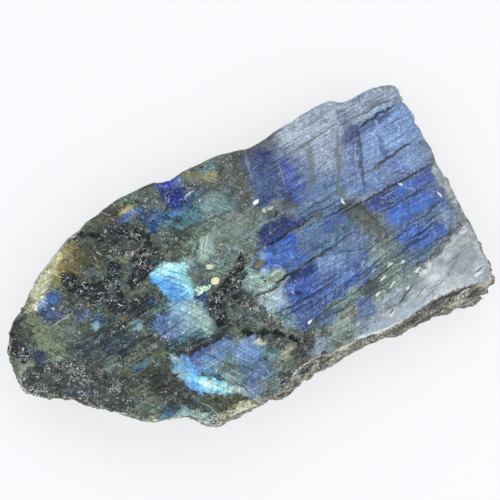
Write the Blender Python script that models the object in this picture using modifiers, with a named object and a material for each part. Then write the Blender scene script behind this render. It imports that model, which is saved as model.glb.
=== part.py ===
"""A rough chunk of labradorite: one stone, a slab with a worn flat face, broken sides and a flat base.

Run it with: blender --background --python part.py
The stone lies flat. X runs along its length, from the narrow tip to the blunt end, and Z points up out
of the flat face. The origin is the middle of its footprint, on the surface that it lies on.
"""

from math import cos, radians, sin

import bmesh
import bpy
import numpy as np
from mathutils import Matrix, Vector, noise

MM = 0.001

# Driving dimensions, in millimetres.
LENGTH = 125.0
THICKNESS = 18.0
TIP_DROP = 5.0  # how much lower the face lies at the narrow tip
SHOULDER_DROP = 3.6  # how far the raw shoulder at the blunt end slopes down to its edge
RIM_RADIUS = 1.5  # the wear that rounds the face's edge
WEAR = 1.0  # the size of the steps left where the sides broke
BELLY_DEPTH = 1.7  # what the flat base takes off the rough underside
GRAIN = 1.0  # the size of the smallest form that is modelled
TRIANGLES = 9200

# The edge of the face, anticlockwise as seen from above, in millimetres from the middle.
TIP_TO_BELLY = [
    (-61.7, 3), (-61, -1), (-59.4, -3.6), (-56.5, -6.3), (-54.4, -7.6), (-51.4, -9.1),
    (-49.3, -11.6), (-47, -14), (-44.6, -15.8), (-42.2, -17.9), (-39.7, -20.7), (-37.2, -23.5),
    (-35, -24.8), (-32, -25.5), (-29, -26.6), (-27, -27.3), (-25, -29.6), (-22, -31.4),
    (-18.5, -32.6), (-14.5, -32.7), (-11, -33), (-8, -32.8), (-4, -32.6), (-1, -31.8),
]
BROKEN_EDGE = [
    (1.5, -30.4), (4.5, -29.1), (8, -28.5), (10.5, -28.7), (13, -29.5), (15.5, -29.6), (18, -29.3),
    (20.5, -29.8), (24.5, -30), (29, -30.2), (33, -30.7), (38, -30.2), (41, -29.2), (46, -28.5),
    (50, -29.1), (53.5, -29.6), (57, -30.6),
]
BLUNT_END = [
    (59.4, -30.8), (61, -26), (61.3, -20), (61.4, -14), (61.6, -8), (61.8, -3), (61.4, 0.3),
    (61.9, 2.4), (61.5, 4.3), (62.2, 8), (62, 11.6), (62.2, 14.4), (61.4, 15.8), (62.4, 18),
    (62.5, 20.6), (62, 22.6), (60.6, 24.1), (61.9, 25), (62.3, 26.6), (61.5, 28.3), (59.8, 29.4),
]
LONG_EDGE = [
    (57, 30.1), (53.5, 30.4), (49.5, 30.1), (46.7, 30.2), (45.2, 31.9), (43.4, 32.7),
    (40, 32.5), (36, 31.9), (30, 31.4), (24, 30.7), (20, 30.3), (17.5, 30.6), (15, 31.6),
    (12, 32), (6, 32.1), (0, 32.4), (-3, 31.6), (-5.5, 32), (-8, 33.4), (-11, 33.1),
    (-14, 32.8), (-17, 33.2), (-20, 32.6), (-24, 31.7), (-28, 31.2), (-31, 30.2),
]
EDGE_TO_TIP = [
    (-35, 29), (-39, 27.2), (-43, 25.4), (-46, 24), (-48, 22), (-51, 19.6), (-54, 18),
    (-57, 16.4), (-58.8, 14.4), (-60.2, 11.4), (-61.3, 7.3),
]
OUTLINE = TIP_TO_BELLY + BROKEN_EDGE + BLUNT_END + LONG_EDGE + EDGE_TO_TIP

# Faces where the underside broke away: the way each one faces (degrees from +X), how far below the
# stone's face it starts at the outline's furthest point, and how far it leans under the stone (degrees).
FRACTURES = [
    (0, 5.5, 28), (32, 4.5, 44), (72, 3.5, 42), (96, 4.5, 36), (118, 3.0, 47), (146, 3.5, 52),
    (178, 5.0, 46), (205, 4.0, 55), (226, 3.2, 50), (243, 5.5, 47), (262, 9.0, 30), (330, 11.0, 30),
]

# The thick wall on the -Y side: how far it stands out past the face's edge, along the stone's length.
WALL = [
    (-22, 0), (-5, -0.3), (3, 0.8), (8, 1.1), (13, 0.2), (18, -0.4), (24, -1.1), (30, -1.3), (35, -0.5),
    (41, 0.9), (48, 1.9), (56, 2.0), (60, 2.1), (63, 1.6),
]

# Ledges along the stone's layers, where the face steps down on the -Y side: the line's two ends, the
# step's height, and how far from the line the lower side takes to climb back.
LEDGES = [
    ((36, 3.2), (64, 4.2), 0.8, 15),
    ((47, 21.0), (64, 24.2), 0.8, 10),
    ((44, 10.0), (64, 12.6), 0.5, 6),
    ((1, -7.0), (31, -2.5), 0.35, 8),
    ((9, 3.9), (30, 6.2), 0.35, 6),
    ((7, -14.0), (22, -13.0), 0.3, 6),
    ((-21, -11.4), (-6, -12.3), 0.9, 4),
    ((-40, -4.8), (-28, -6.2), 0.6, 5),
]

# Rough hollows that the wear didn't reach, each a chain of points with its half width and its depth.
HOLLOWS = [
    ([(-38, 19.5), (-35.5, 15), (-31, 12.5), (-29, 6.5)], 2.4, 1.3),
    ([(-33, 14), (-29, 14), (-26.5, 17)], 1.9, 1.1),
    ([(-29, 29), (-25, 27.5), (-19, 25), (-16, 21), (-15.5, 17), (-19, 12.5), (-24, 10.5)], 2.6, 1.2),
    ([(-7.5, -8.5), (-7.3, -4.5), (-4, -1.3), (0.5, 0.3), (4.6, 3.3)], 2.1, 1.5),
    ([(0, -14), (3, -17.5), (6, -21), (7, -26)], 2.4, 1.0),
    ([(-58.5, 12), (-57.5, 7)], 2.7, 1.2),
    ([(-56, -1), (-48, -4), (-43, -9), (-41, -16)], 5.5, 0.6),
    ([(13, 31), (13.5, 24)], 2.6, 0.7),
    ([(-27, 2), (-22, 3.2)], 2.0, 0.7),
]

STONE_COLOUR = (0.13, 0.17, 0.24, 1.0)


def smooth(value, low, high):
    """0 below low and 1 above high, easing between them. low may be the larger."""
    share = np.clip((value - low) / (high - low), 0.0, 1.0)
    return share * share * (3.0 - 2.0 * share)


def distance_to_segment(xy, start, end):
    """How far each point lies from the segment, and where along it, from 0 to 1."""
    start, end = np.array(start, float), np.array(end, float)
    along = end - start
    share = np.clip((xy - start) @ along / (along @ along), 0.0, 1.0)
    return np.linalg.norm(xy - start - share[:, None] * along, axis=1), share


def distance_to_chain(xy, chain):
    """How far each point lies from the nearest stretch of a chain of points."""
    return np.min([distance_to_segment(xy, a, b)[0] for a, b in zip(chain, chain[1:])], axis=0)


def noise_of(points, size, seed, octaves=3):
    """Smooth noise from -1 to 1 at each point, for lumps of about this size."""
    offset = Vector((seed * 17.3, seed * 5.1, seed * 9.7))
    return np.array([noise.fractal(Vector(p) / size + offset, 0.9, 2.0, octaves) for p in points])


def blocks_of(points, block, seed):
    """A level from 0 to 1 for each point, the same all over each of the blocks that feldspar breaks into."""
    skew = Matrix(((1.0, 0.55, 0.0), (0.0, 1.0, 0.25), (0.0, 0.0, 1.0)))
    offset = Vector((seed * 3.7, seed * 7.9, seed * 1.3))
    level = []
    for point in points:
        place = skew @ Vector(point)
        cell = Vector(place[i] / block[i] for i in range(3)) + offset
        level.append(noise.cell(cell))
    return np.array(level)


def clear_scene():
    for obj in list(bpy.data.objects):
        bpy.data.objects.remove(obj)


def new_collection(name):
    collection = bpy.data.collections.new(name)
    bpy.context.scene.collection.children.link(collection)
    return collection


def slab(collection):
    """The stone as a plain slab: its outline, extruded to its thickness."""
    curve = bpy.data.curves.new("slab_outline", "CURVE")
    curve.dimensions = "2D"
    curve.fill_mode = "BOTH"
    half = (THICKNESS + BELLY_DEPTH) / 2
    curve.extrude = half * MM
    reach = max(x for x, _ in OUTLINE) - min(x for x, _ in OUTLINE)
    spline = curve.splines.new("POLY")
    spline.points.add(len(OUTLINE) - 1)
    for point, (x, y) in zip(spline.points, OUTLINE):
        point.co = (x * LENGTH / reach * MM, y * LENGTH / reach * MM, 0, 1)
    spline.use_cyclic_u = True
    guide = bpy.data.objects.new("slab_outline", curve)
    collection.objects.link(guide)
    guide.location.z = (half - BELLY_DEPTH) * MM
    bpy.context.view_layer.update()

    graph = bpy.context.evaluated_depsgraph_get()
    mesh = bpy.data.meshes.new_from_object(guide.evaluated_get(graph))
    mesh.transform(guide.matrix_world)
    bpy.data.objects.remove(guide)
    stone = bpy.data.objects.new("labradorite_chunk", mesh)
    collection.objects.link(stone)
    return stone


def break_underside(stone):
    """Knocks the lower edges off along flat fracture planes."""
    bm = bmesh.new()
    bm.from_mesh(stone.data)
    bmesh.ops.remove_doubles(bm, verts=bm.verts, dist=0.0001)
    for facing, lip, lean in FRACTURES:
        around, under = radians(facing), radians(lean)
        outward = Vector((cos(around), sin(around), 0))
        furthest = max(bm.verts, key=lambda v: v.co.dot(outward)).co.dot(outward)
        start = outward * furthest
        start.z = (THICKNESS - lip) * MM
        normal = outward * cos(under) - Vector((0, 0, sin(under)))
        everything = bm.verts[:] + bm.edges[:] + bm.faces[:]
        cut = bmesh.ops.bisect_plane(bm, geom=everything, plane_co=start, plane_no=normal, clear_outer=True)
        edges = [item for item in cut["geom_cut"] if isinstance(item, bmesh.types.BMEdge)]
        bmesh.ops.holes_fill(bm, edges=edges)
    bmesh.ops.recalc_face_normals(bm, faces=bm.faces)
    bm.to_mesh(stone.data)
    bm.free()


def bake_modifier(stone, kind, **settings):
    """Adds a modifier, and keeps its result as the stone's own mesh."""
    modifier = stone.modifiers.new(kind.lower(), kind)
    for name, value in settings.items():
        setattr(modifier, name, value)
    bpy.context.view_layer.update()
    graph = bpy.context.evaluated_depsgraph_get()
    mesh = bpy.data.meshes.new_from_object(stone.evaluated_get(graph))
    stone.modifiers.clear()
    stone.data = mesh


def face_relief(xy, inside):
    """How far the face lies above or below its flat level, in millimetres, for each point."""
    x, y = xy.T
    relief = -TIP_DROP * smooth(x, -18, -66) ** 1.4
    relief -= SHOULDER_DROP * smooth(y + 0.06 * (60 - x), -13, -31) * smooth(x, 16, 40)
    flat = np.column_stack([xy, np.zeros(len(xy))])
    relief += 0.45 * noise_of(flat, 19, 1)
    for start, end, step, climb in LEDGES:
        away, share = distance_to_segment(xy, start, end)
        line = start[1] + (end[1] - start[1]) * (x - start[0]) / (end[0] - start[0])
        below = smooth(y - line, 0.25, -0.55) * smooth(away, climb, 1.0)
        relief -= step * below * smooth(share, 0.0, 0.12)
    for chain, half_width, depth in HOLLOWS:
        wander = 0.9 * noise_of(flat, 3.2, 4, 2)
        floor = 1 + 0.5 * noise_of(flat, 2.6, 7, 2)
        relief -= depth * floor * smooth(distance_to_chain(xy, chain) + wander, half_width, 0.4 * half_width)
    worn = np.clip(1 - inside / RIM_RADIUS, 0, 1)
    return relief - RIM_RADIUS * (1 - np.sqrt(1 - worn**2))


def wall_reach(points, inside):
    """How far the wall on the -Y side stands out, in millimetres, for each point."""
    reach = np.interp(points[:, 0], [x for x, _ in WALL], [out for _, out in WALL])
    z = points[:, 2]
    low = smooth(z, THICKNESS - 0.5, THICKNESS - 8) * (0.5 + 0.5 * smooth(z, -1, 4))
    return reach * low * smooth(inside, 12, 0) * (points[:, 1] < -15)


def shape_stone(stone):
    """Moves the slab's points to give the face its relief and the broken sides their ledges and lumps."""
    mesh = stone.data
    points = np.empty(len(mesh.vertices) * 3)
    mesh.vertices.foreach_get("co", points)
    normals = np.empty(len(mesh.vertices) * 3)
    mesh.vertices.foreach_get("normal", normals)
    points, normals = points.reshape(-1, 3) / MM, normals.reshape(-1, 3)
    inside = distance_to_chain(points[:, :2], OUTLINE + OUTLINE[:1])
    height = points[:, 2] / THICKNESS

    broken = smooth(points[:, 2], THICKNESS - 0.4, THICKNESS - 3)
    blocks = blocks_of(points, (12.0, 5.0, 3.4), 2) + 0.4 * blocks_of(points, (5.0, 2.6, 2.0), 5) - 0.9
    rough = broken * WEAR * (noise_of(points, 9, 3) + 1.3 * blocks)
    shaped = points + normals * rough[:, None]
    shaped[:, 1] -= wall_reach(points, inside)
    shaped[:, 2] += face_relief(points[:, :2], inside) * smooth(height, 0.35, 1.0)
    mesh.vertices.foreach_set("co", (shaped * MM).ravel())
    mesh.update()


def flatten_base(stone, cutters):
    """Cuts the underside off along the plane that the stone lies on, and centres it over the origin."""
    half = LENGTH * MM
    cube = bpy.data.meshes.new("ground_cutter")
    bm = bmesh.new()
    bmesh.ops.create_cube(bm, size=2 * half, matrix=Matrix.Translation((0, 0, -half)))
    bm.to_mesh(cube)
    bm.free()
    cutter = bpy.data.objects.new("ground_cutter", cube)
    cutter.hide_render = True
    cutter.display_type = "WIRE"
    cutters.objects.link(cutter)
    bake_modifier(stone, "BOOLEAN", operation="DIFFERENCE", solver="EXACT", object=cutter)
    corners = np.array([vertex.co for vertex in stone.data.vertices])
    middle = (corners.min(axis=0) + corners.max(axis=0)) / 2
    stone.data.transform(Matrix.Translation((-middle[0], -middle[1], 0)))


def stone_material():
    material = bpy.data.materials.new("labradorite")
    material.use_nodes = True
    shader = material.node_tree.nodes["Principled BSDF"]
    shader.inputs["Base Color"].default_value = STONE_COLOUR
    shader.inputs["Roughness"].default_value = 0.4
    shader.inputs["Metallic"].default_value = 0.0
    return material


def labradorite_chunk(collection, cutters):
    stone = slab(collection)
    break_underside(stone)
    bake_modifier(stone, "REMESH", mode="VOXEL", voxel_size=GRAIN * MM)
    shape_stone(stone)
    bake_modifier(stone, "REMESH", mode="VOXEL", voxel_size=0.8 * GRAIN * MM)
    stone.data.calc_loop_triangles()
    bake_modifier(stone, "DECIMATE", ratio=TRIANGLES / len(stone.data.loop_triangles))
    flatten_base(stone, cutters)
    stone.data.materials.append(stone_material())
    return stone


clear_scene()
labradorite_chunk(new_collection("labradorite"), new_collection("cutters"))
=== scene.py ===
# %% [markdown]
# # A chunk of labradorite
#
# Labradorite is a feldspar. It looks like a dull grey-green stone until light meets thin layers inside it,
# and then it flashes blue, violet, aqua and gold. This chunk is a broken slab. One side has been worn flat
# and polished so that the flashes show, and everything else is raw rock.
#
# The lesson has two halves. The first takes the plain stone that the frame holds and gives it the fine form
# of broken rock. The second paints the flashes, one patch at a time, with nodes.

# %% Load the frame
from math import cos, radians, sin

import bpy
import numpy as np
from mathutils import Matrix, Vector, noise


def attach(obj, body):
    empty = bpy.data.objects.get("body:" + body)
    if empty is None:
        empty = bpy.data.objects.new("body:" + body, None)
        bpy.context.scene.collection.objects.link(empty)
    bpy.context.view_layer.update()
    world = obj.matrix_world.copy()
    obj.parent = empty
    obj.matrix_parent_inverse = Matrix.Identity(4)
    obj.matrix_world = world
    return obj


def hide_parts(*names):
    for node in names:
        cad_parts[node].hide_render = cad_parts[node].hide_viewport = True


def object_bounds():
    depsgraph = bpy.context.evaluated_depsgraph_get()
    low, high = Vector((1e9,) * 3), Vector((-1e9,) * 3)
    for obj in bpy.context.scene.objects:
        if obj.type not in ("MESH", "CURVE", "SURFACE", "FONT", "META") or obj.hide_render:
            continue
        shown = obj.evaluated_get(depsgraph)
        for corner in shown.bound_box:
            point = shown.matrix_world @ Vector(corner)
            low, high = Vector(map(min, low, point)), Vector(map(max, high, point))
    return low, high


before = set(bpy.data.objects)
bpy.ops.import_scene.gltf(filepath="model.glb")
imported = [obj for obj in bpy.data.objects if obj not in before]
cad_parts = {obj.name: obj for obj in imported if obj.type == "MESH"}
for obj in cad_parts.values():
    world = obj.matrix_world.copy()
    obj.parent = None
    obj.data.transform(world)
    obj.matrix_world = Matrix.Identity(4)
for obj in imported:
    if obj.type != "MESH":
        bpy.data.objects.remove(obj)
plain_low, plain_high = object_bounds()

MM = 0.001
print("The plain stone, in mm:", [round(side / MM, 1) for side in plain_high - plain_low])

# %% [markdown]
# ## The light, the floor and the camera
#
# A stone like this is shown on a plain pale ground, seen from well above, so that its flat face fills the
# view. Big soft lights stand low at the sides. The sky straight above the stone is left dimmer than they
# are: a polished face works as a mirror, and a bright ceiling in it would wash the deep colours out. The
# floor has a little light of its own, which keeps it pale and the stone's shadow faint.

# %% Set the camera
VIEW_TURN = -27.0  # degrees round the stone
VIEW_HEIGHT = 74.0  # degrees above the floor
VIEW_TARGET = Vector((6.4, 5.0, 16.0)) * MM
VIEW_WIDTH = 130.0 * MM  # how much of the scene the view spans at the stone's face
LENS = 135.0

turn, height = radians(VIEW_TURN), radians(VIEW_HEIGHT)
toward_camera = Vector((sin(turn) * cos(height), -cos(turn) * cos(height), sin(height)))
camera_data = bpy.data.cameras.new("camera")
camera_data.lens = LENS
camera_data.clip_start = 0.01
camera = bpy.data.objects.new("camera", camera_data)
bpy.context.scene.collection.objects.link(camera)
camera.location = VIEW_TARGET + toward_camera * VIEW_WIDTH * LENS / camera_data.sensor_width
camera.rotation_euler = toward_camera.to_track_quat("Z", "Y").to_euler()
bpy.context.scene.camera = camera
print("The camera stands", round(camera.location.z / MM), "mm above the floor")


# %% Light the stone softly from its sides
LIGHT_DISTANCE = 0.9  # from the stone, in metres
LIGHT_SIZE = 1.0  # a side of each square light, in metres


def soft_light(name, turn, height, power):
    """A square light that faces the stone. turn and height are its direction, in degrees."""
    around, up = radians(turn), radians(height)
    toward_light = Vector((sin(around) * cos(up), -cos(around) * cos(up), sin(up)))
    data = bpy.data.lights.new(name, "AREA")
    data.size = LIGHT_SIZE
    data.energy = power
    light = bpy.data.objects.new(name, data)
    bpy.context.scene.collection.objects.link(light)
    light.location = toward_light * LIGHT_DISTANCE
    light.rotation_euler = toward_light.to_track_quat("Z", "Y").to_euler()
    print(name, "is at", [round(v, 2) for v in light.location])


soft_light("back_light", 165, 40, 3.6)
soft_light("left_light", -75, 42, 3.9)
soft_light("front_light", 10, 40, 4.1)
soft_light("right_light", 85, 42, 2.7)

# %% Dim the sky
sky = bpy.data.worlds.new("studio")
bpy.context.scene.world = sky
sky.use_nodes = True
background = sky.node_tree.nodes["Background"].inputs
background["Color"].default_value = (0.95, 0.97, 1.0, 1.0)
background["Strength"].default_value = 0.3
bpy.context.scene.view_settings.view_transform = "Standard"
print("The sky's strength is", round(background["Strength"].default_value, 2))

# %% Lay the floor
FLOOR_SIZE = 6.0
bpy.ops.object.select_all(action="DESELECT")
bpy.ops.mesh.primitive_plane_add(size=FLOOR_SIZE)
floor = bpy.context.object
floor.name = "floor"
floor_paint = bpy.data.materials.new("floor_paint")
floor_paint.use_nodes = True
floor_sockets = floor_paint.node_tree.nodes["Principled BSDF"].inputs
for socket, value in {
    "Base Color": (0.3, 0.3, 0.31, 1.0), "Roughness": 0.9,
    "Emission Color": (0.61, 0.62, 0.63, 1.0), "Emission Strength": 1.0,
}.items():
    floor_sockets[socket].default_value = value
floor.data.materials.append(floor_paint)
print("The floor is", FLOOR_SIZE, "m wide")

# %% [markdown]
# ## The stone's form
#
# The frame's stone is faceted: a few thousand triangles, enough for its ledges, hollows and outline. The
# real stone is smooth where it was polished and rough down to the grain where it broke. A sculptor would
# lay a finer skin over the block-out and work into that, and the same is done here. The block-out is
# copied, its loose triangles are merged, and a voxel remesh covers it with an even skin of small squares.

# %% Copy the block-out and lay a fine skin over it
SKIN = 0.49 * MM  # the size of one square of the skin

bpy.ops.object.select_all(action="DESELECT")
block_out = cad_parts["labradorite_chunk"]
stone = bpy.data.objects.new("labradorite_stone", block_out.data.copy())
bpy.context.scene.collection.objects.link(stone)
bpy.context.view_layer.objects.active = stone
stone.select_set(True)
stone.data.materials.clear()

bpy.ops.object.mode_set(mode="EDIT")
bpy.ops.mesh.select_all(action="SELECT")
bpy.ops.mesh.remove_doubles(threshold=0.01 * MM)
bpy.ops.object.mode_set(mode="OBJECT")


def work(kind, **settings):
    """Adds a modifier to the stone and applies it, as one would from the menu."""
    modifier = stone.modifiers.new(kind.lower(), kind)
    for name, value in settings.items():
        setattr(modifier, name, value)
    bpy.ops.object.modifier_apply(modifier=modifier.name)


work("REMESH", mode="VOXEL", voxel_size=SKIN)
print("The skin has", len(stone.data.vertices), "points")


# %% [markdown]
# Every later step needs to know what kind of surface each point of the skin lies on, so each kind gets a
# mask: a number from 0 to 1 for every point. Where the stone broke, its surface leans away from the flat
# face, so the direction of the surface gives the first mask. The rest are places, drawn as chains of
# points with a width, in millimetres along and across the stone.

# %% Measure the skin
MARKS = Vector((1.3, 0.2))  # where the stone's middle is among the marks on its face, in mm
FACE_HEIGHT = 16.0  # the height that the marks are drawn at
LEAN = Vector((0.130, 0.2555))  # the layers inside lean: how far a mark moves for each mm of depth


def read(name, size=3):
    """One of the skin's own lists of numbers, with a row for each point."""
    values = np.empty(len(stone.data.vertices) * size)
    stone.data.vertices.foreach_get(name, values)
    return values.reshape(-1, size)


def ease(value, low, high):
    """0 below low and 1 above high, with a smooth climb between. low may be the larger."""
    share = np.clip((value - low) / (high - low), 0.0, 1.0)
    return share * share * (3.0 - 2.0 * share)


def marks_of(points):
    """Where each point, in mm, falls on the plane that the marks are drawn on."""
    drop = (FACE_HEIGHT - points[:, 2])[:, None]
    return points[:, :2] + np.array(MARKS) - drop * np.array(LEAN)


def near_chain(places, chain):
    """How far each place lies from a chain of points, in mm."""
    nearest = np.full(len(places), 1e9)
    for start, end in zip(np.array(chain[:-1], float), np.array(chain[1:], float)):
        along = end - start
        share = np.clip((places - start) @ along / (along @ along), 0.0, 1.0)
        nearest = np.minimum(nearest, np.linalg.norm(places - start - share[:, None] * along, axis=1))
    return nearest


def lumps(points, size, seed):
    """Smooth noise from about -1 to 1, with lumps of this size in mm."""
    offset = Vector((seed * 13.1, seed * 7.7, seed * 3.9))
    return np.array([noise.noise(Vector(p) / size + offset) for p in points])


# %% Find each point's height, direction and place among the marks
work("SMOOTH", factor=0.5, iterations=5)
points = read("co") / MM
facing_up = read("normal")[:, 2]
marks = marks_of(points)
WANDER = 0.9  # how far the masks' edges wander from their lines, in mm
wander = WANDER * lumps(points, 3.0, 1) + WANDER * lumps(points, 1.3, 2)
print("The face covers", round(float((facing_up > 0.9).mean()), 2), "of the skin")

# %% Say where the surface is raw
PITS = [
    ([(-38, 19.6), (-36.6, 16.4), (-33, 13), (-30.6, 10)], 1.9),
    ([(-33, 13), (-30.5, 11), (-29.6, 7.5)], 2.4), ([(-31.5, 14.5), (-28, 15)], 0.8),
    ([(-26, 17), (-26.8, 13.5), (-28.6, 10), (-29, 8)], 1.5),
    ([(-31, 29.6), (-28, 28.4), (-25.5, 26.5)], 1.3), ([(-22, 26), (-19, 24.5)], 0.8),
    ([(-17, 22.5), (-15.6, 20), (-15, 16.6)], 1.7), ([(-16, 17), (-18.5, 13.6), (-23, 11)], 1.5),
    ([(-20, 16), (-20.6, 13)], 1.0),
    ([(-7.6, -8.6), (-7.6, -4.5), (-5, -1.3)], 1.2), ([(-5, -1.6), (-0.5, -0.2), (2.5, 1.6), (4.4, 4)], 1.2),
    ([(1, -1), (3.2, 0.5)], 1.0), ([(-1.6, -4.4), (-1, -5.6)], 0.7),
    ([(-3, -14), (2, -16.5), (6, -20), (8, -22)], 0.55),
    ([(-58.6, 12), (-57.8, 6.5)], 1.9),
]
CRAZED = [
    ([(-57, -1), (-50, -3), (-44, -6), (-42, -13), (-41, -15)], 4.4),
    ([(-52, -9), (-44, -14)], 3.0), ([(-39, -10), (-35, -13)], 1.6),
    ([(6, -25), (10, -24)], 1.8), ([(0, -29), (6, -29), (12, -29)], 1.6),
    ([(-2, -5), (2, -8), (4, -14)], 1.2), ([(-24, 21), (-19, 18)], 1.2),
]
# The raw slope runs from SHOULDER, its top, down to WALL_TOP, where the broken wall starts.
SHOULDER = [(18, -28), (28, -26), (36, -24.5), (42, -21), (48, -18), (56, -15.5), (64, -13)]
WALL_TOP = [
    (14, -28.6), (20, -28.9), (25, -29.4), (30, -29.9), (36, -29.6), (41, -28.7), (45, -28.1), (50, -28.4),
    (55, -29.2), (60, -31),
]


def zone(chains):
    """The mask of everything inside these chains. Each comes with its half width."""
    insides = [ease(near_chain(marks, chain) + wander, half, 0.7 * half) for chain, half in chains]
    return np.max(insides, axis=0)


# %% Measure how raw each point is
LEVEL = 0.35, 0.7  # how squarely the face looks up: not face at all, and wholly face
LOWEST_FACE = (-62, -40), (11.0, 13.3)  # along the stone, and the least height that still counts as face
WALL_START, SLOPE_START, BLUNT_END = (8, 14), (16, 24), (58.5, 61.5)  # where they set in, along the stone

mark_x, mark_y = marks[:, 0], marks[:, 1]
face = ease(facing_up, *LEVEL) * ease(points[:, 2] - np.interp(mark_x, *LOWEST_FACE), -0.5, 0.2)
pit = zone(PITS) * face
crazed = zone(CRAZED) * face
slope_top = np.interp(mark_x, *zip(*SHOULDER))
slope_foot = np.interp(mark_x, *zip(*WALL_TOP))
over_edge = ease(slope_foot - mark_y + 0.3 * wander, -0.2, 0.3) * ease(mark_x, *WALL_START)
face = np.minimum(face, 1 - over_edge)
blunt_edge = ease(mark_x + 0.5 * wander, *BLUNT_END) * ease(mark_y, 6, 2)
slope = ease(mark_y - slope_top + wander, 1.8, -2.2) * ease(mark_x + 2 * wander, *SLOPE_START)
shoulder = np.maximum(slope, blunt_edge) * face
broken = 1 - face
masks = {"pit": pit, "crazed": crazed, "shoulder": shoulder, "broken": broken}
for name, mask in masks.items():
    print(name, "covers", round(float(mask.mean()), 3), "of the skin")

# %% [markdown]
# Feldspar splits along two sets of flat planes, so a broken side is a pile of small steps, long one way
# and short the other. A Displace modifier moves each point along its own direction by what a texture says
# there. Cell noise has one value in each cell of a grid, and a guide that is stretched and leaned makes
# the cells into feldspar's blocks. What stands out past the plain stone's size is trimmed at the end.


# %% Make a chisel
BLOCK_TURN, BLOCK_TILT = 4, 9  # how the blocks lie: turned along the layers, and tilted, in degrees


def mask_group(name, mask):
    """Keeps a mask as a vertex group, which is what modifiers read."""
    group = stone.vertex_groups.new(name=name)
    for index in np.nonzero(mask > 0.02)[0]:
        group.add([int(index)], float(mask[index]), "REPLACE")
    return group.name


def carve(name, depth, block, basis, where, seed, level=1.0):
    """Displaces the skin with noise whose cells have the size of block, in mm: inwards by up to level times
    depth, and outwards by the rest."""
    grain = bpy.data.textures.new(name, "CLOUDS")
    grain.noise_basis = basis
    grain.noise_scale = 1.0
    grain.noise_depth = 1
    guide = bpy.data.objects.new(name, None)
    bpy.context.scene.collection.objects.link(guide)
    guide.matrix_world = (
        Matrix.Translation(Vector((seed, seed * 0.7, seed * 0.3)) * MM)
        @ Matrix.Rotation(radians(BLOCK_TURN), 4, "Z")
        @ Matrix.Rotation(radians(BLOCK_TILT), 4, "X")
        @ Matrix.Diagonal([side * MM for side in block] + [1.0])
    )
    bpy.context.view_layer.update()
    work(
        "DISPLACE", texture=grain, texture_coords="OBJECT", texture_coords_object=guide,
        strength=depth * MM, mid_level=level, vertex_group=where,
    )
    bpy.data.objects.remove(guide)
    bpy.data.textures.remove(grain)
    print("Carved", name, depth, "mm deep")


# %% Carve the sides, the hollows and the slope
BULGE = 1.1  # how far the wall under the slope stands out, in mm
fuller = ease(mark_x, 16, 36) * ease(mark_x, 58, 46) * ease(points[:, 2], 15, 9)
points[:, 1] -= BULGE * fuller * broken * (points[:, 1] < 0)
stone.data.vertices.foreach_set("co", (points * MM).ravel())
resting = ease(points[:, 2], 1.4, 0.3) * (facing_up < -0.9)  # what the stone lies on stays whole
worn = 0.8 * ease(points[:, 2] + wander, 12.5, 15) * (1 - over_edge)  # the rim is worn, and carved less
sides = mask_group("sides", np.clip(broken * (1 - resting) * (1 - worn), 0, 1))
hollows = mask_group("hollows", np.clip(pit + 0.35 * crazed, 0, 1))
raw_slope = mask_group("raw_slope", shoulder)

carve("side_blocks", 1.0, (5.5, 2.2, 1.6), "CELL_NOISE", sides, 3, 0.5)
carve("side_chips", 0.55, (2.4, 1.3, 0.9), "CELL_NOISE", sides, 11, 0.5)
carve("side_grain", 0.5, (1.1, 0.7, 0.6), "ORIGINAL_PERLIN", sides, 17, 0.4)
carve("pit_ridges", 1.0, (1.3, 1.1, 1.1), "VORONOI_F2_F1", hollows, 5)
carve("pit_grain", 0.6, (0.8, 0.7, 0.7), "ORIGINAL_PERLIN", hollows, 8)
carve("slope_steps", 0.45, (7.0, 1.5, 1.2), "CELL_NOISE", raw_slope, 21)
carve("slope_grain", 0.25, (2.0, 0.8, 0.8), "ORIGINAL_PERLIN", raw_slope, 23)
work("SMOOTH", factor=0.35, iterations=1)

# %% Flatten what the stone lies on, and keep the masks on the skin for the paint
FLATTEN = 0.15 * MM  # points this near the ground are set down on it
CREASE = 42  # edges sharper than this stay sharp, in degrees
corners = read("co")
under = corners[:, 2] < plain_low.z + FLATTEN
corners[:, 2] = np.where(under, plain_low.z, corners[:, 2])
corners = np.clip(corners, np.array(plain_low), np.array(plain_high))
stone.data.vertices.foreach_set("co", corners.ravel())
stone.vertex_groups.clear()
for name, mask in masks.items():
    layer = stone.data.attributes.new(name, "FLOAT", "POINT")
    layer.data.foreach_set("value", mask.astype(np.float32))
bpy.ops.object.shade_smooth_by_angle(angle=radians(CREASE))
print("The stone has", sum(len(square.vertices) - 2 for square in stone.data.polygons), "triangles")

# %% [markdown]
# ## Paint
#
# The stone has one material, built up the way the eye sees it: the dull body first, then soft clouds of
# colour deep inside, then the flashing layers with their firm edges, and last the cracks, spots, painted
# glints and raw rock that lie on top, the raw slope with a painted silvery sheen. Colours are written as on a
# paint chart, from 0 to 255, and turned into the linear values that Blender's shaders work with.


# %% Mix the paints
def chart(red, green, blue):
    """A paint-chart colour as the linear colour that a shader takes."""
    shares = np.array([red, green, blue]) / 255
    linear = np.where(shares < 0.04045, shares / 12.92, ((shares + 0.055) / 1.055) ** 2.4)
    return tuple(float(share) for share in linear) + (1.0,)


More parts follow.
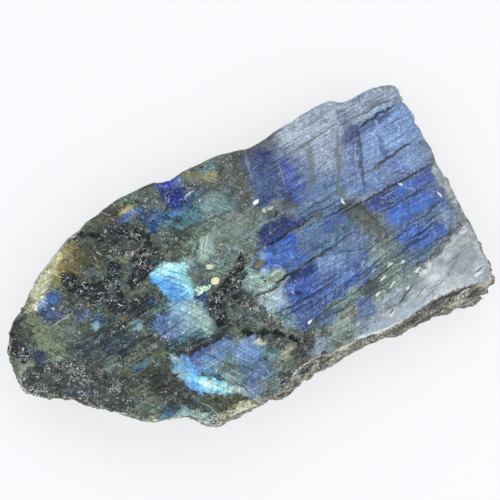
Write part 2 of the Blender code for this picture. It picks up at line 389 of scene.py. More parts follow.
PAINTS = {
    "ink": (20, 27, 36), "soot": (46, 55, 60), "peat": (44, 46, 38), "moss": (67, 72, 62),
    "olive": (92, 99, 82), "khaki": (116, 126, 104), "brown": (74, 75, 54), "straw": (148, 141, 86),
    "tan": (192, 193, 168), "gold": (138, 116, 56), "cream": (230, 226, 186), "mint": (202, 224, 204),
    "milk": (152, 180, 172), "sage": (122, 140, 134), "ash": (96, 108, 107), "mauve": (88, 91, 101),
    "teal": (80, 116, 126), "deep_teal": (50, 68, 76), "sea": (112, 152, 164), "ice": (142, 174, 190),
    "aqua": (172, 244, 252), "azure": (110, 190, 255), "sky": (125, 157, 204),
    "periwinkle": (116, 139, 184), "fog": (154, 168, 186), "mist": (168, 182, 196), "steel": (80, 114, 152),
    "slate": (58, 80, 124), "denim": (68, 98, 162), "royal": (62, 106, 188), "ultramarine": (38, 78, 176),
    "violet": (60, 84, 168), "indigo": (30, 48, 124), "navy": (14, 42, 98), "smoke": (86, 97, 122),
    "pewter": (146, 157, 163), "rock": (132, 129, 120), "silver": (186, 194, 200), "frost": (234, 237, 236),
}
PAINTS = {name: chart(*levels) for name, levels in PAINTS.items()}
print("There are", len(PAINTS), "paints")

# %% [markdown]
# Nodes can be wired by hand, but this finish has hundreds, and they are easiest to read as one line of code
# each. The helper `add` does that: it takes the node's kind and what feeds each of its sockets, a number or
# another node's output, and gives back the new node's output. Small helpers on top of it name the sums that
# come back again and again.

# %% Make a helper that adds nodes
finish = bpy.data.materials.new("labradorite_finish")
finish.use_nodes = True
tree = finish.node_tree
shader = tree.nodes["Principled BSDF"]
print("The finish ends in", shader.name)


def add(kind, feeds, out=0, into=None, **settings):
    """Adds a node, feeds its sockets and gives back one of its outputs."""
    made = (into or tree).nodes.new("ShaderNode" + kind)
    for name, value in settings.items():
        setattr(made, name, value)
    for socket, feed in feeds.items():
        if isinstance(feed, bpy.types.NodeSocket):
            (into or tree).links.new(feed, made.inputs[socket])
        else:
            made.inputs[socket].default_value = feed
    return made.outputs[out]


# %% Make helpers for sums and masks
def sum_of(a, b):
    return add("Math", {0: a, 1: b}, operation="ADD")


def product(a, b, into=None):
    return add("Math", {0: a, 1: b}, into=into, operation="MULTIPLY")


def most(a, b):
    return add("Math", {0: a, 1: b}, operation="MAXIMUM")


def step(value, low, high, top=1.0):
    """0 below low, climbing smoothly to top above high. low may be the larger."""
    feeds = {"Value": value, "From Min": low, "From Max": high, "To Max": top}
    return add("MapRange", feeds, interpolation_type="SMOOTHSTEP", clamp=False)


def mix(amount, under, over, into=None):
    return add("Mix", {0: amount, 6: under, 7: over}, out=2, into=into, data_type="RGBA", clamp_factor=True)


def washed(under, mask, strength, paint):
    """The colour with a paint over it where the mask is, as thick as strength says."""
    return mix(product(mask, strength), under, PAINTS[paint])


def within(mask, inside, outside):
    """A number that is one thing inside a mask and another outside it."""
    return add("Math", {0: mask, 1: inside - outside, 2: outside}, operation="MULTIPLY_ADD")


# %% Make helpers for places and noise
def scaled(vector, x, y, z=1.0):
    return add("VectorMath", {0: vector, 1: (x, y, z)}, operation="MULTIPLY")


def turned(vector, degrees):
    """The pattern's own axes, turned this far anticlockwise."""
    return add("VectorRotate", {"Vector": vector, "Angle": radians(-degrees)}, rotation_type="Z_AXIS")


def axis_of(vector, index):
    return add("SeparateXYZ", {0: vector}, out=index)


def cloud_noise(vector, size, detail=2.0, rough=0.5, out=0, distortion=0.0):
    """Noise from 0 to 1 with lumps of this size in mm, and finer ones on them as detail and rough say."""
    made = {"Scale": 1.0 / size, "Detail": detail, "Roughness": rough, "Distortion": distortion}
    return add("TexNoise", {"Vector": vector, **made}, out=out)


def patchy(vector, size, low, high, detail=2.0, rough=0.5, distortion=0.0):
    """The same noise, cut off into a mask."""
    return step(cloud_noise(vector, size, detail, rough, distortion=distortion), low, high)


# %% [markdown]
# Inside the stone the colour lies in thin leaning sheets. A mark is therefore placed by where its sheet
# meets the face, and the place of any point is found by sliding it along the sheets up to the face. The
# places are then stirred with noise, so that no mark has a ruled edge, and pulled lengthwise by noise that
# changes quickly from one layer to the next, which frays the ends of each flash into fine splinters. Clouds
# are stirred the most, blocks and flashes less, and cracks and spots hardly at all.

# %% Find each point's place among the marks
LAYERS = 4.0  # the direction of the layers on the face, in degrees from the stone's length
CROSS = 59.0  # the direction of the second cleavage
FAN = -52.0  # the direction of the layers in the bright flashes

place_m = add("TexCoord", {}, out=3)
solid = scaled(place_m, 1 / MM, 1 / MM, 1 / MM)
depth = add("Math", {0: FACE_HEIGHT, 1: axis_of(solid, 2)}, operation="SUBTRACT")
slide = add("VectorMath", {0: (LEAN.x, LEAN.y, 0.0), "Scale": depth}, operation="SCALE")
flat = add("VectorMath", {0: scaled(solid, 1.0, 1.0, 0.0), 1: slide}, operation="SUBTRACT")
flat = add("VectorMath", {0: flat, 1: (MARKS.x, MARKS.y, 0.0)}, operation="ADD")
print("The layers run at", LAYERS, "degrees, the second cleavage at", CROSS, "and the fans at", FAN)


# %% Stir the places and fray them
def stirred(vector, size, reach, detail=4.0):
    """Moves each place by about a fifth of reach, in mm, with swirls of this size and finer ones."""
    swirls = cloud_noise(solid, size, detail=detail, rough=0.6, out=1)
    push = add("VectorMath", {0: swirls, 1: (0.5, 0.5, 0.5)}, operation="SUBTRACT")
    return add("VectorMath", {0: push, 1: (2 * reach, 2 * reach, 0.0), 2: vector}, operation="MULTIPLY_ADD")


def swing(field):
    """Turns noise from 0 to 1 into a swing about 0."""
    return add("Math", {0: field, 1: 0.5}, operation="SUBTRACT")


def frayed(vector, degrees, grain_swing, reach):
    """Pulls each place along one direction by what the grain says there."""
    along = (reach * cos(radians(degrees)), reach * sin(radians(degrees)), 0.0)
    pull = add("VectorMath", {0: along, "Scale": grain_swing}, operation="SCALE")
    return add("VectorMath", {0: vector, 1: pull}, operation="ADD")


def streaks(sheets, length, width, seed):
    """Noise drawn out along the sheets, like the edges of a stack of them."""
    across = scaled(sheets, 1 / length, 1 / width)
    shifted = add("VectorMath", {0: across, 1: (seed, seed * 1.7, seed * 0.3)}, operation="ADD")
    return cloud_noise(shifted, 1.0, detail=2.5, rough=0.6)


# %% Draw the grain of the layers
layers, cross, fan = turned(flat, LAYERS), turned(flat, CROSS), turned(flat, FAN)
layer_grain = streaks(layers, 9.0, 0.34, 1)
cross_grain = streaks(cross, 11.0, 0.6, 5)
fan_grain = streaks(fan, 7.0, 0.36, 9)
layer_swing, fan_swing = swing(layer_grain), swing(fan_grain)
blotches = product(patchy(solid, 1.4, 0.45, 0.62, detail=4.0, rough=0.7), 0.7)
layer_lines = most(step(layer_grain, 0.46, 0.66), blotches)
fan_lines = most(step(fan_grain, 0.46, 0.66), blotches)
print("So far the finish has", len(tree.nodes), "nodes")

# %% Find where each kind of mark is read
# Each is stirred by swirls of a size and a reach, then frayed in a direction and with a reach, all in mm.
wispy = stirred(flat, 3.6, 6.0, 2.0)
wisps = swing(cloud_noise(wispy, 1.3, detail=5.0, rough=0.75))
marks_plain = frayed(stirred(flat, 5.0, 1.5), LAYERS, wisps, 1.2)
marks_cloud = frayed(stirred(flat, 7.0, 5.0, 5.0), LAYERS, layer_swing, 9.0)
marks_flash = frayed(stirred(flat, 3.0, 2.0), FAN, wisps, 3.0)
marks_crisp = frayed(stirred(flat, 3.5, 2.6), LAYERS, layer_swing, 3.6)
print("And now it has", len(tree.nodes))

# %% [markdown]
# One patch of colour is a small machine: it measures how far out from the patch's centre a place is, fades
# its paint at the edge and lays it over the colour underneath. It is used over five hundred times, so it is
# a node group, and one with as few nodes as will do, because every one of them costs time in the render. A
# round one makes clouds and, when it is very thin, cracks. A square one makes the blocks of colour that two
# crossing cleavages cut out.
#
# How far along a patch a place lies is one dot product, of the place with the patch's own direction divided
# by its half length. The place carries a 1 as its third number, so the same dot product also takes off the
# patch's centre. The distance is squared, or raised to the fourth power in a square patch, and its square
# root is never needed: a straight fall from the inner rim to the outer one is soft enough.


# %% Build the patch machine
def patch_machine(name, square):
    """A node group that lays one patch. Fade and Start say how the mask falls with the distance."""
    machine = bpy.data.node_groups.new(name, "ShaderNodeTree")
    sockets = {
        "Under": "Color", "Place": "Vector", "Along": "Vector", "Across": "Vector",
        "Paint": "Color", "Strength": "Float", "Fade": "Float", "Start": "Float", "Keep": "Float",
    }
    for socket, kind in sockets.items():
        machine.interface.new_socket(socket, in_out="INPUT", socket_type="NodeSocket" + kind)
    machine.interface.new_socket("Colour", in_out="OUTPUT", socket_type="NodeSocketColor")
    given = machine.nodes.new("NodeGroupInput").outputs
    result = machine.nodes.new("NodeGroupOutput").inputs

    out = []
    for direction in ("Along", "Across"):
        feeds = {0: given["Place"], 1: given[direction]}
        reach = add("VectorMath", feeds, out=1, into=machine, operation="DOT_PRODUCT")
        out.append(product(reach, reach, into=machine) if square else reach)
    along = product(out[0], out[0], into=machine)
    far = add("Math", {0: out[1], 1: out[1], 2: along}, into=machine, operation="MULTIPLY_ADD")
    mask = add("Math", {0: far, 1: given["Fade"], 2: given["Start"]}, into=machine, operation="MULTIPLY_ADD")
    mask = add("Math", {0: mask, 1: given["Strength"]}, into=machine, operation="MINIMUM")
    mask = product(mask, given["Keep"], into=machine)
    machine.links.new(mix(mask, given["Under"], given["Paint"], into=machine), result["Colour"])
    return machine


ROUND = patch_machine("round_patch", square=False)
SQUARE = patch_machine("square_patch", square=True)
print("One patch takes", len(SQUARE.nodes), "nodes")


# %% Lay a list of patches over what is there
SOFT, FIRM, CRISP, DOT = 0.56, 0.48, 0.44, 0.28  # how wide the faded edge is, as a share of the patch


def lay(patches, machine, places, edge, colour, lines=None, gap=0.0):
    """Each patch is its centre, its two half sizes and its turn, then its paint and strength. The lines
    show through it, as gaps of this depth."""
    feeds = {"Place": add("VectorMath", {0: places, 1: (0.0, 0.0, 1.0)}, operation="ADD")}
    if lines is not None:
        feeds["Keep"] = within(lines, 1.0 - gap, 1.0)
    for x, y, length, width, turn, paint, strength in patches:
        right, up = cos(radians(turn)), sin(radians(turn))
        fade = 0.5 * strength / edge
        patch = tree.nodes.new("ShaderNodeGroup")
        patch.node_tree = machine
        for socket, value in {
            "Along": (right / length, up / length, -(x * right + y * up) / length),
            "Across": (-up / width, right / width, (x * up - y * right) / width),
            "Paint": PAINTS[paint], "Strength": strength, "Keep": 1.0,
            "Fade": -fade, "Start": fade * (1.0 + edge),
        }.items():
            patch.inputs[socket].default_value = value
        for socket, feed in {"Under": colour, **feeds}.items():
            tree.links.new(feed, patch.inputs[socket])
        colour = patch.outputs["Colour"]
    print(len(patches), "patches")
    return colour


# %% [markdown]
# ### The body
#
# Away from the flashes the stone is a cloudy grey-green, darker where it is clear and one looks deep into
# it, and paler where it is full of fine fractures. One noise would look like camouflage. Two of different
# sizes, one laid over the other, look like depth, and a third, streaked one lets small flashes through.

# %% Colour the body
body = mix(patchy(solid, 8.0, 0.38, 0.62, detail=5.0, rough=0.62), PAINTS["moss"], PAINTS["olive"])
body = washed(body, patchy(solid, 2.2, 0.46, 0.68, detail=5.0, rough=0.68), 0.55, "sage")

# %% Let small flashes show all through it
small_flash = step(streaks(layers, 3.2, 1.0, 21), 0.52, 0.64)
small_flash = product(small_flash, patchy(flat, 9.0, 0.42, 0.6, detail=1.0))
flash_hue = mix(patchy(flat, 6.0, 0.42, 0.56), PAINTS["teal"], PAINTS["steel"])
body = mix(product(small_flash, 0.6), body, flash_hue)

# %% [markdown]
# ### Clouds of colour
#
# These are the soft, wide areas: the milky blue of the broad end, the sage-green middle and the olive and
# straw tones of the narrow end. Noise would put them anywhere, and no two stones have them in the same
# places, so each is one patch, placed one by one. The layers' dark lines show through.

# %% Lay the clouds
CLOUDS_BROAD = [
    (44, 17, 21, 16, 3, "periwinkle", 1.0), (36, 27.5, 13, 5.5, 3, "mist", 0.95),
    (38, 20, 7, 5, 62, "fog", 0.85), (54, 27, 10, 3.8, 4, "fog", 0.85), (56, 18, 8, 6, 4, "sky", 0.9),
    (47, 14, 7, 3, 64, "sky", 0.6), (58, 7, 5, 3, 4, "sky", 0.5), (32, 10, 5, 3.4, 10, "steel", 0.7),
    (22, 20, 7.5, 10, -14, "slate", 0.95), (30, -4, 13, 10, 4, "steel", 1.0),
    (14, 0, 7, 5, 0, "royal", 0.9), (15, -10, 6.5, 6, 0, "royal", 0.9), (25, -13, 9, 4.5, 8, "denim", 0.8),
    (50, -5, 12, 10, 4, "denim", 0.95), (22, -18.5, 9, 3.5, 8, "teal", 0.8), (38, -4, 4, 10, 4, "ash", 0.7),
    (36, -19, 8, 5, 6, "sage", 0.9), (46, -15, 6, 3, 6, "steel", 0.8), (30, -25, 9, 3, 6, "fog", 0.7),
    (19, -25, 5, 3, 20, "sage", 0.7), (13, -26, 5, 3, 0, "ash", 0.7),
]
CLOUDS_MIDDLE = [
    (3, 10, 11, 8, 0, "sage", 0.8), (1, 20.5, 12, 4.5, -3, "teal", 0.9), (8, 13, 5, 5, 20, "olive", 0.6),
    (-4, 23.8, 8, 1.6, 4, "steel", 0.8), (-8, 16.6, 7, 2, 3, "moss", 0.85),
    (3, 16, 8, 1.4, 0, "olive", 0.7), (-11, 25.4, 3, 3, 0, "slate", 0.6),
    (-9.5, 29.6, 3.4, 2.4, 0, "moss", 0.7), (6, -9.5, 6, 4.5, 0, "milk", 0.9),
    (6, -3, 6, 4, -20, "milk", 0.8), (-15, -3.6, 5.4, 5.4, 0, "ice", 0.85),
    (-12, -5, 2.6, 5, 10, "milk", 0.8), (-20, -3, 4, 3.8, 0, "periwinkle", 0.85),
    (-16, -8.6, 7, 1.8, 4, "teal", 0.7), (-9, -4, 1.4, 5, 8, "slate", 0.8),
    (-3, -8, 4.4, 4.6, 0, "moss", 0.9), (-14, -11.4, 8, 1.8, 3, "soot", 0.9),
    (4, -23, 4, 2.4, 20, "khaki", 0.8), (2, -19.6, 4, 2.4, 0, "moss", 0.7),
    (-3, -28.8, 5, 2.6, 0, "ash", 0.7), (-7.8, 6, 2.4, 3.6, 0, "ash", 0.7),
]
CLOUDS_NARROW = [
    (-42, 23.8, 8, 3.2, 33, "tan", 0.95), (-48, 18.8, 4.4, 2, 30, "tan", 0.95),
    (-35, 26, 6, 2.6, 28, "gold", 0.75), (-33, 22, 7, 3.8, 20, "brown", 1.0),
    (-38.4, 21.6, 3, 2, 20, "straw", 0.7), (-25.4, 21.4, 4, 3.6, 0, "moss", 0.9),
    (-20.6, 24.6, 5, 3.4, 10, "soot", 0.9), (-28.5, 27.4, 3, 2, -20, "soot", 0.8),
    (-21.5, 18.4, 2.6, 1.6, 20, "gold", 0.5), (-20.6, 29.6, 4.4, 1.6, 0, "brown", 0.8),
    (-55, 12.6, 4, 3.6, 40, "peat", 0.9), (-50.6, 12.4, 2.4, 4, 20, "khaki", 0.8),
    (-48.6, 6.6, 4.4, 5, 0, "khaki", 1.0), (-43, 6.4, 4.6, 3.4, 0, "olive", 0.9),
    (-59, 3, 3, 3.6, 0, "khaki", 0.95), (-39.4, 1.4, 7, 2.6, 0, "deep_teal", 0.95),
    (-33, -3.4, 7, 2.4, 5, "deep_teal", 0.9), (-37, 13, 3, 3, 0, "moss", 0.8),
    (-31, -13, 8, 4, -20, "brown", 0.8), (-27.6, -19, 6, 5, -35, "peat", 0.9),
    (-24.5, 4.6, 5, 3.6, 0, "ink", 0.8), (-23, 8.6, 2.8, 2.4, 0, "olive", 0.8),
    (-27, -7, 4, 3, 0, "olive", 0.7), (-56, -2.6, 4, 3, -20, "khaki", 0.7),
    (-31, -25, 5, 1.8, -14, "steel", 0.8), (-25, -28, 5, 2.2, -28, "milk", 0.8),
    (-17.6, -27, 6, 2.4, -20, "brown", 0.9), (-14, -31.2, 7, 1.8, 0, "tan", 0.85),
    (-38, -22, 8, 1.6, -38, "tan", 0.6), (-35, -18, 5, 2.6, -20, "olive", 0.8),
    (-38, -7, 4, 2.6, -20, "sage", 0.7), (-45, -7, 7, 5, 0, "soot", 0.8), (-33, -9, 4, 2, 0, "olive", 0.8),
]
CLOUDS = CLOUDS_BROAD + CLOUDS_MIDDLE + CLOUDS_NARROW
colour = lay(CLOUDS, ROUND, marks_cloud, FIRM, body, layer_lines, 0.4)

# %% [markdown]
# ### Blocks of colour
#
# Where a flashing layer is cut off by a cleavage its edge is straight and firm. These blocks lean with the
# two cleavages, and they are streaked along the layers. They are laid like the clouds, with the square
# machine, and at places that are stirred less.

# %% Lay the blocks
BLOCKS_BROAD = [
    (22.5, 29, 6, 1.9, 6, "mauve", 0.95), (21.3, 20.5, 7.5, 2.8, 80, "slate", 0.8),
    (17.2, 21.4, 5.6, 1.7, 76, "steel", 0.7), (25.8, 17.5, 6, 1.5, 80, "violet", 0.85),
    (28.2, 12.4, 3.4, 2.6, 12, "denim", 0.6), (13, 24.5, 8, 3.8, 82, "moss", 0.9),
    (19, 15.6, 4.6, 0.8, -2, "navy", 0.7), (23.6, 14.1, 2.4, 0.6, -10, "navy", 0.6),
    (18, 12.2, 4.4, 2, 0, "ash", 0.9), (22.4, 12, 1.8, 1.6, 0, "moss", 0.8),
    (24.6, 7.7, 4.6, 1.7, 4, "steel", 0.8), (16.4, 7.6, 5.2, 2.3, 6, "navy", 1.0),
    (12, 5.4, 3, 1.2, 16, "smoke", 0.7), (17, 5.5, 7, 0.9, 5, "indigo", 0.95),
    (13.8, 1.2, 5, 3, 5, "royal", 0.9), (18.2, 1.8, 3, 1.3, 74, "ultramarine", 0.85),
    (24.4, 2, 3.6, 2.4, 4, "steel", 0.8), (31, 2.2, 4.6, 2, 4, "denim", 0.7),
    (31, -1.6, 5, 1.5, 8, "steel", 0.7), (33, -4.4, 3.4, 2, 4, "periwinkle", 0.6),
    (17.8, -6.2, 3.8, 1.1, 4, "navy", 0.95), (14, -9.8, 4.4, 2.8, 6, "ultramarine", 0.9),
    (18.6, -9.8, 1.8, 3, 84, "denim", 0.7), (24.4, -7, 3.8, 2.4, 4, "periwinkle", 0.8),
    (8.4, -11.4, 2.2, 1.6, 0, "ice", 0.5), (24.5, -14, 5.6, 1.9, 8, "royal", 0.7),
    (13.4, -16, 5.6, 3, 20, "denim", 0.9), (8, -16, 1.6, 2.2, 0, "sea", 0.8),
    (24, -17.6, 4.6, 1.4, 6, "sage", 0.8), (17.6, -20.2, 2.2, 1.5, 0, "steel", 0.9),
    (20.8, -22.2, 4.6, 1.2, 20, "straw", 0.45), (19, -24.6, 3, 1.3, 20, "milk", 0.5),
    (27.4, -22.2, 2.5, 2.6, 10, "denim", 0.75), (31, -18, 2.8, 1.5, 4, "soot", 0.75),
    (45.6, 21.4, 2.6, 1.8, 30, "slate", 0.9), (46, 25.5, 3, 1.6, 66, "smoke", 0.7),
    (52.5, 21.5, 5.4, 1.0, 8, "slate", 0.7), (52.5, 8, 2.6, 1.8, 4, "violet", 0.4),
    (45.4, 7.8, 2.4, 1.8, 10, "steel", 0.5), (41.8, 6.6, 1.6, 1.8, 60, "denim", 0.6),
    (36.6, 2.2, 3.2, 2.6, -40, "moss", 0.85), (38.6, -4.2, 2.6, 5, 4, "ash", 0.8),
    (40.3, -2, 1.0, 5, 6, "moss", 0.9), (38.4, -11, 3.2, 3.6, 0, "sage", 0.7),
    (43.2, -7, 1.5, 6.5, 4, "ash", 0.7), (44.4, 1.5, 4, 1.7, 4, "indigo", 0.85),
    (50.4, 1.6, 3.4, 1.6, 4, "royal", 0.9), (56.8, 1.5, 3.6, 1.8, 4, "violet", 0.8),
    (50, -3.4, 6.6, 2.6, 3, "royal", 1.0), (48.6, -2.6, 3.2, 1.5, 0, "ultramarine", 0.6),
    (47, -9.2, 4, 1.7, 6, "royal", 0.8), (54, -8.2, 4.4, 1.6, 6, "steel", 0.8),
    (51, -12.8, 5, 1.9, 6, "royal", 0.7), (57.6, -10.6, 2.4, 3, 0, "fog", 0.4),
]
BLOCKS_NARROW = [
    (-45, 16.4, 3.4, 1.6, 12, "denim", 0.65), (-46, 13.2, 2.6, 2, 10, "slate", 0.7),
    (-42.8, 13, 1.5, 1.8, 0, "mauve", 0.8), (-38.8, 9, 2.8, 1.4, 12, "smoke", 0.7),
    (-36.8, 5, 1.4, 0.9, 40, "milk", 0.6), (-35.2, 6.4, 1.1, 1.9, 0, "slate", 0.9),
    (-53, 3, 1.7, 2.2, 0, "navy", 0.6), (-42, 18.2, 0.9, 1.8, 0, "teal", 0.6),
    (-27.2, 0.2, 2, 0.9, -40, "ice", 0.6), (-31, -9.6, 2.4, 1.0, 0, "steel", 0.6),
    (-47.4, -8.6, 1.8, 1.2, 0, "slate", 0.6), (-21.4, 4.6, 1.2, 0.9, -20, "steel", 0.9),
    (-3.2, 27.8, 3.2, 3.8, 10, "indigo", 0.9), (-3, 31, 3, 1.4, 0, "violet", 0.7),
    (-12, 22.4, 1.2, 2.4, -12, "slate", 0.9), (-15.4, 27.9, 2.6, 1.1, 0, "sky", 0.8),
    (-16, 29.5, 2.8, 0.6, 0, "straw", 0.7), (5.8, 28.6, 4, 1.5, -26, "straw", 0.6),
    (8.2, 30, 2.4, 1.2, 0, "sea", 0.8), (2.4, 28, 1.8, 1.6, 0, "mauve", 0.8),
    (0, -4, 3.4, 3, 0, "ink", 0.8), (2.8, 7, 2.6, 2, 0, "ash", 0.6), (-7.8, 1.6, 1.8, 1.0, 0, "mint", 0.9),
    (-9, 3.6, 1, 1.4, 0, "khaki", 0.7), (-13, -13.4, 7, 0.9, 4, "slate", 0.9),
    (-1, -17.8, 1.8, 0.6, -20, "mint", 0.7), (-4.6, -13.6, 1, 2.4, 20, "khaki", 0.7),
]
colour = lay(BLOCKS_BROAD + BLOCKS_NARROW, SQUARE, marks_crisp, FIRM, colour, layer_lines, 0.3)

# %% [markdown]
# ### Curdling
#
# Seen close, the colour is never even. It is lighter and darker in winding wisps, and webs of hair-thin
# fractures run through it, dark where they are open and pale where they catch the light. Both are noise,
# read at places that are themselves stirred, and both are stronger in the narrow half, which broke up more.


# %% Make wisps and webs
def shaded(colour, field_swing, depth):
    """The colour, lighter and darker with the swing of a field, times this depth."""
    value = add("Math", {0: field_swing, 1: depth, 2: 1.0}, operation="MULTIPLY_ADD")
    return add("HueSaturation", {"Value": value, "Color": colour})


def squiggles(size, width, share=0.5):
    """Thin winding lines, kept over about this share of the stone and broken off elsewhere."""
    ridge = swing(cloud_noise(wispy, size, detail=1.5, rough=0.5))
    line = step(add("Math", {0: ridge}, operation="ABSOLUTE"), width, width * 0.4)
    limit = 0.5 + 0.3 * (0.5 - share)
    return product(line, patchy(solid, size * 1.6, limit - 0.04, limit + 0.04))


# %% Curdle the colour
NARROW_HALF = 26.0, 4.0  # along the stone, in mm: where it sets in, and from where it is complete
narrow_half = step(axis_of(flat, 0), *NARROW_HALF)
colour = shaded(colour, wisps, within(narrow_half, 3.4, 1.8))
colour = shaded(colour, swing(cloud_noise(wispy, 4.5, detail=3.0, rough=0.6)), 1.0)
teal_drift = patchy(solid, 4.0, 0.48, 0.62, detail=4.0, rough=0.6, distortion=0.6)
brown_drift = patchy(flat, 4.5, 0.5, 0.64, detail=4.0, rough=0.6, distortion=0.6)
for mask, strength, paint in (
    (teal_drift, product(narrow_half, 0.2), "deep_teal"),
    (brown_drift, product(narrow_half, 0.2), "brown"),
    (patchy(wispy, 1.5, 0.5, 0.72, detail=5.0, rough=0.7), within(narrow_half, 0.2, 0.42), "fog"),
    (squiggles(2.2, 0.05), within(narrow_half, 0.65, 0.1), "ink"),
    (squiggles(2.6, 0.016, 0.4), within(narrow_half, 0.4, 0.1), "fog"),
):
    colour = washed(colour, mask, strength, paint)
print("The narrow half starts at", NARROW_HALF[0], "mm")

# %% Deepen the narrow end
NARROW_END = 12.0, -2.0
narrow_end = step(axis_of(flat, 0), *NARROW_END)
colour = add("Gamma", {"Color": colour, "Gamma": within(narrow_end, 1.3, 1.0)})
lift = {"Value": within(narrow_end, 1.6, 1.0), "Saturation": within(narrow_end, 1.2, 1.0)}
colour = add("HueSaturation", {**lift, "Color": colour})
print("The narrow end starts at", NARROW_END[0], "mm")

# %% [markdown]
# ### The bright flashes
#
# Two patches near the middle face the light squarely and blaze azure and aqua. Their own layers fan out
# across the stone's, and show as fine dark lines. Each is laid as a few firm patches, then as small glows
# on them, because a real flash is brightest in spots that lean just right.

# %% Lay the flashes
FLASHES = [
    (-14.2, 5.8, 5.4, 3.2, -78, "azure", 1.0), (-16.6, 9, 2.2, 2.0, -40, "azure", 0.9),
    (-9.7, 9, 1.0, 1.5, 20, "aqua", 0.9), (-21, -15.5, 2.3, 4.0, 8, "azure", 0.9),
    (-13.6, -15.1, 5.8, 2.4, 3, "sky", 0.75), (-15.8, -14.7, 3.2, 2.0, 3, "royal", 0.55),
    (-11.8, -18.1, 5, 3.2, -14, "sea", 0.8), (-4.6, -18.3, 3.6, 3.2, 24, "sky", 0.9),
    (-5.6, -24.5, 4.4, 3.0, -18, "steel", 0.8), (-20.6, -19.7, 2.4, 1.9, -50, "azure", 0.95),
    (-17, -22.3, 4.0, 1.7, -40, "azure", 0.9), (-21.8, -11.7, 0.8, 2.0, 30, "sea", 0.9),
    (-7.4, -28.3, 2.4, 1.2, -30, "periwinkle", 0.8), (0, -20.9, 2.0, 2.8, 30, "sea", 0.6),
]
GLOWS = [
    (-12, 7, 4.8, 1.9, -72, "aqua", 0.9), (-13.8, 10.2, 3.6, 1.5, -8, "aqua", 0.95),
    (-16.6, 9.8, 1.4, 0.6, -40, "aqua", 0.5), (-13.2, 10.6, 2.4, 0.7, 0, "frost", 0.4),
    (-11.6, 2.2, 1.4, 1.4, 0, "aqua", 0.5), (-15.4, 4.4, 1.6, 2.6, 10, "royal", 0.15),
    (-23.4, -16.5, 1.4, 0.9, 40, "ice", 0.9), (-22, -13.3, 1.0, 2.4, 16, "ice", 0.6),
    (-21.6, -17.7, 1.6, 1.6, -56, "aqua", 0.3), (-18.6, -19.9, 1.8, 1.1, -50, "aqua", 0.95),
    (-17.2, -22.1, 2.5, 1.5, -42, "aqua", 1.0), (-14.8, -24.1, 2.4, 1.3, -36, "aqua", 1.0),
    (-17.4, -21.7, 2.6, 0.8, -42, "frost", 0.6), (-12, -26.3, 2.6, 1.1, -45, "mint", 0.7),
    (-9.6, -27.9, 1.4, 0.9, -45, "ice", 0.7), (-16.4, -20.5, 1.3, 0.6, -10, "olive", 0.8),
    (-11.2, -19.9, 1.7, 1.3, -20, "moss", 0.95), (-8.8, -21.1, 1.9, 0.8, -20, "soot", 0.7),
    (-13.2, -16.7, 2.6, 1.2, 0, "ice", 0.45), (-12.2, -22.1, 1.8, 1.2, -30, "ice", 0.6),
    (-5.6, -17.9, 2.2, 1.6, 10, "sky", 0.8), (-3.2, -20.1, 1.3, 1.9, 20, "azure", 0.5),
    (-6.2, -24.3, 2.6, 1.0, 6, "periwinkle", 0.6), (-11.6, -14.9, 1.4, 0.5, -40, "moss", 0.7),
]
colour = lay(FLASHES, SQUARE, marks_flash, CRISP, colour, fan_lines, 0.4)
colour = lay(GLOWS, ROUND, marks_flash, SOFT, colour, fan_lines, 0.4)

# %% [markdown]
# Around them lie smaller places, paler or darker than the clouds they are in: milky sheets near the middle,
# the straw and tan of the worn rim, and the dark gaps where one looks past the layers into the stone.

